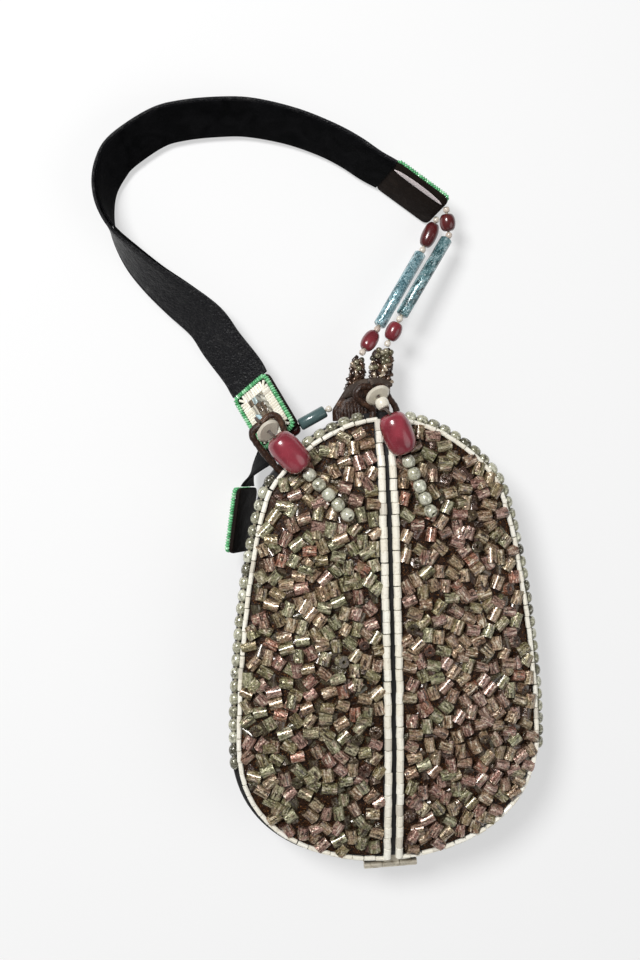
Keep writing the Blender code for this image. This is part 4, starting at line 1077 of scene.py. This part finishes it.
def links():
    """The two links of the handle: cord, seeds, dark red beads and foil tubes."""
    for side, stops in LINKS.items():
        stops = millimetres(stops)
        corded(stops, 40, f"link_thread_{side}", "thread", "handle", f"link_cord_{side}")
        seed_row(stops, f"link_seeds_{side}", "handle")
        for level in ("upper", "lower"):
            red_drop(f"{level}_red_bead_{side}", f"{level}_red", "handle")
        foil_tube(f"link_tube_{side}", f"foil_tube_{side}", "teal" if side == "right" else "blue", "handle")


def spacer():
    """The short strand between the left patch and the wishbone."""
    stops = millimetres(SPACER)
    corded(stops, 16, "spacer_thread", "thread", "root", "spacer_cord")
    seed_row([stops[0], stops[2]], "spacer_seeds", "root")
    red_drop("spacer_red_bead", "upper_red", "root")
    foil_tube("spacer_tube", "spacer_foil_tube", "grey", "root")


def pulls():
    """Both bead pulls: a rolled leather loop, cord, disc, barrel and round beads."""
    for side, route in PULL_CORDS.items():
        body = f"pull_{side}"
        corded(millimetres(route), 60, f"pull_thread_{side}", "dark_thread", body, f"pull_cord_{side}")
        turned_piece(f"pull_disc_{side}", f"pull_sequin_{side}", "disc", body, sequin, 26,
                     angle=30, tone=(0.3, 0.2, 0.5))
        if side == "right":
            turned_piece(f"pull_bead_{side}", f"pull_cream_bead_{side}", "disc", body,
                         lambda length, width: round_profile(length, width, 0.62, 10), 24, 0.0022)
        turned_piece(f"pull_barrel_{side}", f"pull_drum_{side}", "red", body, drum, 40, 0.0024)
        stops = millimetres(STRANDS[side])
        pattern = turned(round_profile(0.0050, 0.0052, 0.34, 12), 22, 0.0016)
        frames = []
        for at, way in zip(stops, bend_ways(stops)):
            way = way + Vector(CHANCE.normal(0, 0.10, 3)) + Vector((0, 0, 1.3 if at is stops[-1] else 0))
            frames.append(laid(at, way, any_roll()))
        tones = CHANCE.uniform((0.55, 0.0, 0.0), (1.0, 0.6, 1.0), (len(frames), 3))
        settle(strewn(pattern, frames, tones), f"pull_pearls_{side}", "pearl", body,
               f"pull_strand_{side}", 60)
        line = spaced([tuple(p) for p in smooth(millimetres(LOOPS[side]))], 70)
        radii = [
            LOOP / 2 * (0.84 - 0.12 * abs(math.sin(0.9 * i)) - 0.05 * math.sin(0.37 * i)) for i in range(70)
        ]
        settle(pipe(line, radii, 16, 0.85), f"rolled_loop_{side}", "fork_leather", "lid",
               f"pull_loop_{side}", 60)


def sequin(length, width):
    """A flat disc's profile, widest at its middle."""
    return [(-length / 2, width / 2 * 0.80), (0, width / 2), (length / 2, width / 2 * 0.80)]


def drum(length, width):
    """A barrel bead's profile: nearly straight, with rounded shoulders."""
    shares = ((1.0, 0.50), (0.985, 0.59), (0.93, 0.72), (0.80, 0.85), (0.5, 0.965), (0.2, 1.0))
    shares = [(-along, wide) for along, wide in shares] + list(shares[::-1])
    return [(along * length / 2, width / 2 * wide) for along, wide in shares]


def strap_height(lean):
    return GAP + STRAP / 2 * math.sin(lean) + (STRAP_LEATHER + STRAP_VELVET) * abs(math.cos(lean))


def strap_frames(steps):
    """Frames along the strap, from the left patch's far edge to the right patch's near one."""
    start, end = millimetres(HANDLE_ENDS)
    span = end - start
    side = Vector((-span.y, span.x, 0))
    left, right = panel(LEFT_EDGE), panel(RIGHT_PATCH)
    right.translation = right @ Vector((0, -PATCH / 2 + STRAP_TUCK, 0))
    flats, turns = [left.translation], [Vector((LEFT_PATCH[1][2], left.translation.z, 0))]
    for along, across, lean in STRAP_PATH:
        at = start + span * along + side * across
        flats.append(Vector((at.x, at.y, 0)))
        turns.append(Vector((lean, strap_height(math.radians(lean)), 0)))
    flats.append(right.translation)
    turns.append(Vector((RIGHT_PATCH[1][2], right.translation.z, 0)))
    line, twist = smooth(flats, steps), smooth(turns, steps)
    frames = [left]
    for i in range(1, len(line) - 1):
        along = steps_of(line, i)
        heading = math.degrees(math.atan2(along.y, along.x))
        drop = 0.0
        if i < 2 * steps:
            drop = LEFT_PATCH[1][1] * (1 - i / (2 * steps))**2 * 0.6
        frame_here = panel(((0, 0, 0), (heading, drop, twist[i].x)))
        frame_here.translation = (line[i].x, line[i].y, twist[i].y)
        frames.append(frame_here)
    return frames + [right]


def band_section(half, low, high, groove):
    """A flat band's outline across, with round edges and a pressed line near each edge of its upper face."""
    edge = (high - low) / 2
    arcs = [
        [(sign * (half - edge) + edge * math.cos(angle), low + edge + edge * math.sin(angle))
         for angle in (math.pi / 2 * -sign + math.pi * i / 4 for i in range(5))]
        for sign in (-1, 1)
    ]
    floor = [(half * share, low) for share in (-0.6, -0.2, 0.2, 0.6)]
    right, left = (
        [(sign * (half - 0.0013 + off * sign), high - depth)
         for off, depth in ((0.00035, 0.0), (0.0, groove), (-0.00035, 0.0))]
        for sign in (1, -1)
    )
    crown = [(half * share, high + groove * 0.3) for share in (0.5, 0.0, -0.5)]
    return arcs[0] + floor + arcs[1] + right + crown + left


def banded(frames, section):
    """A band whose section is carried along its frames."""
    return lofted([[tuple(place @ Vector((x, 0, z))) for x, z in section] for place in frames])


def strap():
    """The leather band and its velvet, from the left patch along the handle's path to the right patch."""
    frames = strap_frames(6)
    start = panel(LEFT_EDGE)
    bend = (tuple(start.translation), tuple(start @ Vector((0, STRAP_BEND, 0))))
    leather_low = (STRAP_VELVET + STRAP_GLUE) / 2 - STRAP_LEATHER / 2
    velvet_low = -(STRAP_LEATHER + STRAP_GLUE) / 2 - STRAP_VELVET / 2
    leather_band = banded(frames, band_section(STRAP / 2, leather_low, leather_low + STRAP_LEATHER, STRAP_LINE))
    settle(leather_band, "strap_leather", "black", "handle", "strap_band", 50, bend)
    velvet_half, velvet_high = STRAP / 2 - VELVET_INSET, velvet_low + STRAP_VELVET
    velvet_band = banded(frames, band_section(velvet_half, velvet_low, velvet_high, 0.0))
    settle(velvet_band, "strap_velvet_face", "velvet", "handle", "strap_velvet", 50, bend)


def rounded(width, length, corner, steps=5):
    """A rectangle about the origin with round corners."""
    found = []
    for quarter, (sx, sy) in enumerate(((1, 1), (-1, 1), (-1, -1), (1, -1))):
        for i in range(steps + 1):
            angle = math.pi / 2 * (quarter + i / steps)
            found.append((
                sx * (width / 2 - corner) + corner * math.cos(angle),
                sy * (length / 2 - corner) + corner * math.sin(angle),
            ))
    return found


def green_border(name, at, lift, body):
    """A row of green seed beads round a patch."""
    seed = turned(round_profile(0.00100, 0.0021, 0.55, 5), 10, 0.0006)
    count, inset, height = 74, 0.00095, lift + 0.00080
    line = spaced(rounded(STRAP - 2 * inset, PATCH - 2 * inset, CORNER - inset), count * 2, closed=True)
    frames = []
    for i in range(count):
        here, before = Vector((*line[2 * i], height)), Vector((*line[2 * i - 1], height))
        frames.append(at @ laid(here, here - before, any_roll(), (CHANCE.uniform(0.92, 1.0), 1, 1)))
    settle(strewn(seed, frames), f"{name}_green_border", "green", body, f"{name}_seeds", 60)


def bugle_ladder(name, at, lift, body):
    """Cream bugles side by side round a patch, each pointing outwards."""
    bugle = turned(tube_profile(BUGLE, 0.00122, 0.00012), 10, 0.0005)
    width, length = STRAP - 2 * PATCH_EDGE - BUGLE, PATCH - 2 * PATCH_EDGE - BUGLE
    height = lift + BUGLE_RISE
    frames = []
    for count, span, other, upright in ((9, width, length, False), (15, length, width, True)):
        for sign in (-1, 1):
            for i in range(count):
                along = (i + 0.5) / count * 2 - 1
                flat = (along * span / 2 * 0.90, sign * other / 2)
                way = (along**9 * 0.35, sign)
                if upright:
                    flat, way = flat[::-1], way[::-1]
                way = Vector((*way, 0)) + Vector((*CHANCE.normal(0, 0.03, 2), 0))
                frames.append(at @ laid((*flat, height), way, any_roll()))
    for sx in (-1, 1):
        for sy in (-1, 1):
            frames.append(at @ laid((sx * width / 2, sy * length / 2, height), (sx, sy, 0)))
    settle(strewn(bugle, frames), f"{name}_bugle_ladder", "cream", body, f"{name}_bugles")


def patch(name, place, body, face=1):
    """A strap patch: leather plate, a row of green seeds, a ladder of bugles and a mosaic of shell chips."""
    at = panel(place) @ Matrix.Rotation(math.pi if face < 0 else 0, 4, "Y")
    plate = slab(rounded(STRAP, PATCH, CORNER), -PATCH_PLATE / 2, PATCH_PLATE / 2, SOFT_EDGE)
    plate.data.transform(at)
    settle(plate, f"{name}_backing", "dark_leather", body, f"{name}_plate")
    lift = PATCH_PLATE / 2 + GAP
    green_border(name, at, lift, body)
    bugle_ladder(name, at, lift, body)
    inner = PATCH_EDGE + BUGLE - GAP
    chips(name, at, STRAP - 2 * inner, PATCH - 2 * inner, lift, body)


def chips(name, at, width, length, lift, body):
    """Shards of shell, set close together in uneven columns."""
    bpy.ops.mesh.primitive_cube_add(size=1)
    pattern = bpy.context.object
    with_modifier(pattern, "BEVEL", width=0.07, segments=1, limit_method="NONE")
    made = []
    edges = np.array([0.0, 0.27, 0.50, 0.76, 1.0])
    for left, right in zip(edges, edges[1:]):
        inner = np.clip(CHANCE.normal((0.2, 0.38, 0.6, 0.8), 0.05), 0.05, 0.95)
        heights = np.sort(np.concatenate([[0, 1], inner]))
        lean = CHANCE.normal(0, 0.035, len(heights))
        lean[0] = lean[-1] = 0
        for low, high, tilt, over in zip(heights, heights[1:], lean, lean[1:]):
            if high - low < 0.05:
                continue
            corners = (left, low - tilt), (right, low + tilt), (left, high - over), (right, high + over)
            a, b, c, d = (np.array(corners) - 0.5) * (width, length)
            top = CHANCE.uniform(0.0007, 0.0010)
            mesh = pattern.data.copy()
            for vertex in mesh.vertices:
                u, v = 0.5 + vertex.co.x * 0.96, 0.5 + vertex.co.y * 0.97
                flat = (a * (1 - u) + b * u) * (1 - v) + (c * (1 - u) + d * u) * v
                vertex.co = (*flat, lift + (vertex.co.z + 0.5) * top)
            mesh.transform(at)
            blue = left < 0.1 and 0.15 < low < 0.5
            toned(mesh, (0.94 if blue else CHANCE.uniform(0, 0.86), *CHANCE.random(2)))
            made.append(linked(mesh, "chip"))
    bpy.data.objects.remove(pattern)
    settle(joined(made), f"{name}_shell_chips", "mosaic", body, f"{name}_mosaic", 30)


def tail():
    """The strap's tail, from under the left patch round to the side patch, turning as it goes."""
    left, near = panel(LEFT_PATCH), panel(SIDE_PATCH)
    depth = (PATCH_PLATE + STRAP_LEATHER) / 2 + GAP
    under = left @ Vector((-TAIL * TAIL_SIDE, -PATCH / 2 + TAIL_LAP, -depth))
    end = near @ Vector((0, -PATCH / 2 - 2 * GAP, 0))
    face = left.to_3x3() @ Vector((0, 0, 1))
    way = end - under
    way = (way - face * way.dot(face)).normalized()
    first = Matrix((way.cross(face), way, face)).transposed().to_quaternion()
    last = (near.to_3x3() @ Matrix.Rotation(math.pi, 3, "Y")).to_quaternion()
    far = (end - under).length
    bends = (under + way * far / 3, end - near.to_3x3() @ Vector((0, far / 3, 0)))
    section = band_section(TAIL / 2, -STRAP_LEATHER / 2, STRAP_LEATHER / 2, 0.0002)
    rings = []
    for i in range(25):
        at, turn = bow(under, *bends, end, i / 24), first.slerp(last, i / 24)
        rings.append([tuple(at + turn @ Vector((x, 0, z))) for x, z in section])
    settle(lofted(rings), "tail_leather", "tail", "root", "strap_tail", 50)


def crossings(polygon, y):
    """Where the sides of a polygon cross a height."""
    return [(bx - ax) * (y - ay) / (by - ay) + ax
            for (ax, ay), (bx, by) in zip(polygon, polygon[1:] + polygon[:1]) if (ay > y) != (by > y)]


def inside(polygon, x, y):
    """Whether a point lies in a polygon."""
    return sum(x < side for side in crossings(polygon, y)) % 2 == 1


def fork_beads(at):
    """Glass beads sewn all over the fork's legs, clear of the red bead beside it."""
    short = turned(tube_profile(0.0029, 0.00155, 0.00014), 8, 0.0007)
    ball = turned(round_profile(0.0022, 0.0024, 0.45, 5), 10, 0.0007)
    drop_at, drop_way, drop_long, drop_wide = turned_place("lower_red_bead_left")
    room, apart, brink = 0.0016, 0.00150, 0.0011

    def clear(x, y, z):
        off = at @ Vector((x, y, z)) - drop_at
        along = off.dot(drop_way)
        return abs(along) > drop_long / 2 + room or (off - drop_way * along).length > drop_wide / 2 + room

    frames, round_frames, places = [], [], []
    for _ in range(9000):
        x, y = CHANCE.uniform(-0.019, 0.0075), CHANCE.uniform(0.1000, 0.1165)
        if not inside(FORK_LINE, x, y) or any((x - px)**2 + (y - py)**2 < apart**2 for px, py in places):
            continue
        if not clear(x, y, FORK_THICK - 0.001):
            continue
        places.append((x, y))
        ring = [(x + brink * math.cos(t), y + brink * math.sin(t)) for t in np.linspace(0, 6.28, 9)[:-1]]
        drop = brink * (1 - sum(inside(FORK_LINE, *p) for p in ring) / 8)
        high = FORK_THICK - 0.00105 - drop
        if CHANCE.random() < (y - 0.1065) / 0.008:
            round_frames.append(at @ laid((x, y, high), CHANCE.normal(0, 1, 3)))
        else:
            frames.append(at @ laid((x, y, high), (*CHANCE.normal(0, 1, 2), CHANCE.normal(0, 0.10))))
    edge = shifted(spaced(FORK_LINE, 70, closed=True), -0.0006)
    for x, y in edge[edge[:, 1] > 0.0995]:
        if clear(x, y, 0.002):
            height = CHANCE.uniform(0.0012, 0.0024)
            frames.append(at @ laid((x, y, height), (*CHANCE.normal(0, 0.3, 2), 1)))
    for pattern, found, name, finish, power in (
        (short, frames, "fork_tube_beads", "dark_seed", 3.0),
        (ball, round_frames, "fork_round_beads", "olive_seed", 1.2),
    ):
        shares = CHANCE.random((len(found), 3))**(power, 1, 1)
        settle(strewn(pattern, found, shares), name, finish, "root", None, 50)


def fork_foot(at):
    """The fork's pleated leather foot."""
    rows = []
    for i, y in enumerate(np.linspace(0.0884, 0.1012, 16)):
        sides = crossings(FORK_LINE, max(y, 0.0922))
        xs = np.linspace(min(sides) - 0.0003, max(sides) + 0.0003, 64)
        share = (xs - xs[0]) / (xs[-1] - xs[0]) * 2 - 1
        pleat = 0.00028 * np.sin(xs * 4600 + i * 0.15) * (1 - i / 15)**0.7
        fold = 0.00025 * np.sin(i * 1.1 + xs * 260) * (i / 15)
        tall = (FORK_THICK + 0.0004) * (1 - np.abs(share)**7 * 0.62) + pleat + fold
        rows.append(np.column_stack([xs, np.full(64, y) + 0.0010 * np.sin(share * 2.2), tall]))
    foot = with_modifier(sheet(rows), "SOLIDIFY", thickness=0.0005, offset=-1.0)
    foot.data.transform(at)
    settle(foot, "fork_pleated_foot", "fork_leather", "root", None, 60)


def fork_bar(at):
    """The smooth leather bar across the fork, narrow at both ends."""
    line = smooth([(x * MM, y * MM, FORK_THICK + 0.0007) for x, y in FORK_BAR])
    section = ((-1, 0), (-0.7, 0.0005), (0, 0.0007), (0.7, 0.0005), (1, 0), (0.7, -0.0004), (-0.7, -0.0004))
    rings = []
    for i, (place, _, _, way) in enumerate(along_line(line)):
        half = 0.0021 * (1 - 0.75 * abs(i / (len(line) - 1) * 2 - 1)**5)
        cross = Vector((-way.y, way.x, 0)).normalized()
        rings.append([tuple(place + cross * x * half + Vector((0, 0, z))) for x, z in section])
    bar = lofted(rings)
    bar.data.transform(at)
    settle(bar, "fork_bar", "brown", "root", None, 50)


def wishbone():
    """The leather fork, with its beads, its pleated foot and the bar across it."""
    at = Matrix.Translation((0, LENGTH / 2, BACK - BAND - FORK_THICK)) @ Matrix.Rotation(FORK_TILT, 4, "X")
    at = at @ Matrix.Translation((0, -LENGTH / 2, 0))
    core = slab(FORK_LINE, 0.0002, FORK_THICK - 0.0012, 0.0013, 4)
    core.data.transform(at)
    settle(core, "fork_leather", "fork_leather", "root", "wishbone_tab", 50)
    fork_beads(at)
    fork_foot(at)
    fork_bar(at)


def lens_strip():
    """A pale lens-shaped strip of cloth along the back of the right patch: a painted highlight standing for the
    glare along it.
    """
    half, middle = PATCH / 2 * 0.90, STRAP / 2 - 0.0029
    line = []
    for sign in (1, -1):
        for i in range(12):
            t = (i / 12 * 2 - 1) * sign
            line.append((middle + sign * 0.00115 * (1 - t * t)**0.6 - 0.0005 * t * t, half * t))
    strip = slab(line, -PATCH_PLATE / 2 - 0.0005, -PATCH_PLATE / 2 - 0.00005, 0.00012)
    strip.data.transform(panel(RIGHT_PATCH))
    settle(strip, "right_patch_lens_strip", "painted_glare_cloth", "handle")


def stage_and_lights():
    """A pale floor, soft light from the upper left and a weaker one from the right."""
    bpy.ops.mesh.primitive_plane_add(size=60.0, location=(0, 0, 0))
    floor = bpy.context.object
    floor.name = "floor"
    f = Finish("pale_floor", Roughness=1.0, Specular_IOR_Level=0.0, Base_Color=(0.86, 0.86, 0.86))
    path = f.tree.nodes.new("ShaderNodeLightPath")
    seen = Shade(f, path.outputs["Is Camera Ray"]) + Shade(f, path.outputs["Is Glossy Ray"])
    seen = seen + Shade(f, path.outputs["Is Transmission Ray"])
    glow = f.node("ShaderNodeEmission", None, {"Color": (1.0, 1.0, 1.0), "Strength": 0.97})
    mixed = f.node("ShaderNodeMixShader", None, {
        0: f.step(seen, 0.0, 1.0) * FLOOR_GLOW, 1: Shade(f, f.shader.outputs[0]), 2: glow})
    f.tree.links.new(mixed.socket, f.tree.nodes["Material Output"].inputs["Surface"])
    floor.data.materials.append(f.material)
    for name, place, size, power in (
        ("key_light", (-0.55, 0.55, 0.95), 0.38, KEY_POWER),
        ("fill_light", (0.75, -0.25, 0.80), 0.9, FILL_POWER),
        ("low_light", (-0.1, -0.9, 0.45), 0.8, LOW_POWER),
    ):
        bpy.ops.object.light_add(type="AREA", location=place)
        light = bpy.context.object
        light.name = name
        light.data.shape = "DISK"
        light.data.size = size
        light.data.energy = power
        aim = Vector((0, 0.03, 0)) - Vector(place)
        light.rotation_euler = aim.to_track_quat("-Z", "Y").to_euler()
    world = bpy.data.worlds.new("studio")
    SCENE.world = world
    world.use_nodes = True
    world.node_tree.nodes["Background"].inputs["Color"].default_value = (1.0, 1.0, 1.0, 1.0)
    world.node_tree.nodes["Background"].inputs["Strength"].default_value = WORLD_LIGHT
    SCENE.view_settings.view_transform = "Standard"


def camera():
    """The photograph's point of view: above the bag, a little to its upper left."""
    data = bpy.data.cameras.new("photo_camera")
    data.lens, data.sensor_width, data.sensor_fit = 50, 36, "AUTO"
    data.clip_start, data.clip_end = 0.01, 20
    eye = bpy.data.objects.new("photo_camera", data)
    SCENE.collection.objects.link(eye)
    eye.matrix_world = Matrix.Translation(EYE)
    for angle, axis in EYE_TURNS:
        eye.matrix_world = eye.matrix_world @ Matrix.Rotation(math.radians(angle), 4, axis)
    SCENE.camera = eye


FINISHES = {
    "glass": lined_glass(),
    "bed": bead_bed(),
    "pearl": pearl(),
    "cream": cream_glass(),
    "pale_seed": seed_glass("pale_seeds", (0.58, 0.46, 0.38), (0.74, 0.64, 0.55), (0.84, 0.79, 0.68)),
    "green": seed_glass("green_seeds", (0.07, 0.36, 0.13), (0.17, 0.62, 0.27), (0.46, 0.86, 0.52)),
    "disc": seed_glass("cream_discs", (0.74, 0.67, 0.53), (0.88, 0.83, 0.70), (0.93, 0.90, 0.80)),
    "dark_seed": seed_glass("fork_seeds", (0.026, 0.010, 0.005), (0.12, 0.062, 0.034), (0.72, 0.60, 0.44), 0.4),
    "upper_red": red_resin("maroon_glass", (0.022, 0.003, 0.004), (0.110, 0.014, 0.014)),
    "lower_red": red_resin("dark_red_glass", (0.050, 0.006, 0.009), (0.200, 0.022, 0.030)),
    "red": red_resin("red_resin", (0.110, 0.010, 0.017), (0.285, 0.034, 0.052)),
    "teal": foil_glass("teal_foil_glass", (0.030, 0.090, 0.100), (0.20, 0.37, 0.40)),
    "blue": foil_glass("blue_foil_glass", (0.060, 0.150, 0.180), (0.34, 0.56, 0.62)),
    "grey": seed_glass("grey_green_glass", (0.060, 0.110, 0.112), (0.085, 0.145, 0.146), (0.12, 0.18, 0.18)),
    "black": leather("black_strap_leather", (0.005, 0.005, 0.006), (0.036, 0.035, 0.034), 0.8, 0.33, 0.8, 0.20,
                     0.0009),
    "olive_seed": seed_glass("fork_olive_seeds", (0.026, 0.021, 0.012), (0.20, 0.175, 0.10), (0.74, 0.67, 0.52),
                             0.3),
    "fork_leather": leather("fork_brown_leather", (0.022, 0.010, 0.006), (0.17, 0.090, 0.052), 1.3, 0.26, 0.9,
                            0.28),
    # Pale cloth of the lens strip: a painted highlight.
    "painted_glare_cloth": thread("painted_glare_cloth", (0.80, 0.72, 0.72), (0.55, 0.46, 0.46)),
    "dark_leather": leather("dark_brown_leather", (0.0065, 0.0038, 0.0026), (0.026, 0.017, 0.012), gloss=0.55,
                            shine=0.10),
    "tail": leather("tail_leather", (0.004, 0.004, 0.0045), (0.014, 0.013, 0.012), gloss=0.55, shine=0.08),
    "brown": leather("worn_brown_leather", (0.036, 0.025, 0.019), (0.14, 0.105, 0.080), 1.1, 0.45, 0.8, 0.22),
    "velvet": velvet(),
    "shell": shell_black(),
    "lining": lining(),
    "brass": old_brass(),
    "nickel": nickel(),
    "thread": thread("waxed_thread", (0.50, 0.44, 0.34), (0.22, 0.18, 0.13)),
    "dark_thread": thread("dark_waxed_thread", (0.10, 0.065, 0.045), (0.035, 0.022, 0.015)),
    "mosaic": mosaic(),
}

camera()
shells()
linings()
for wing_side, wing_mirror in SIDES:
    wing(wing_side, wing_mirror)
cream_strands()
rim_rows()
for metal_node in ("hinge_leaf_back", "hinge_leaf_lid", "hinge_pin"):
    dress(NODES[metal_node], "brass")
for metal_node in ("catch_magnet", "catch_plate"):
    dress(NODES[metal_node], "nickel")
strap()
patch("left_patch", LEFT_PATCH, "root")
patch("right_patch", RIGHT_PATCH, "handle")
patch("side_patch", SIDE_PATCH, "root", face=-1)
tail()
links()
spacer()
wishbone()
lens_strip()
pulls()
stage_and_lights()
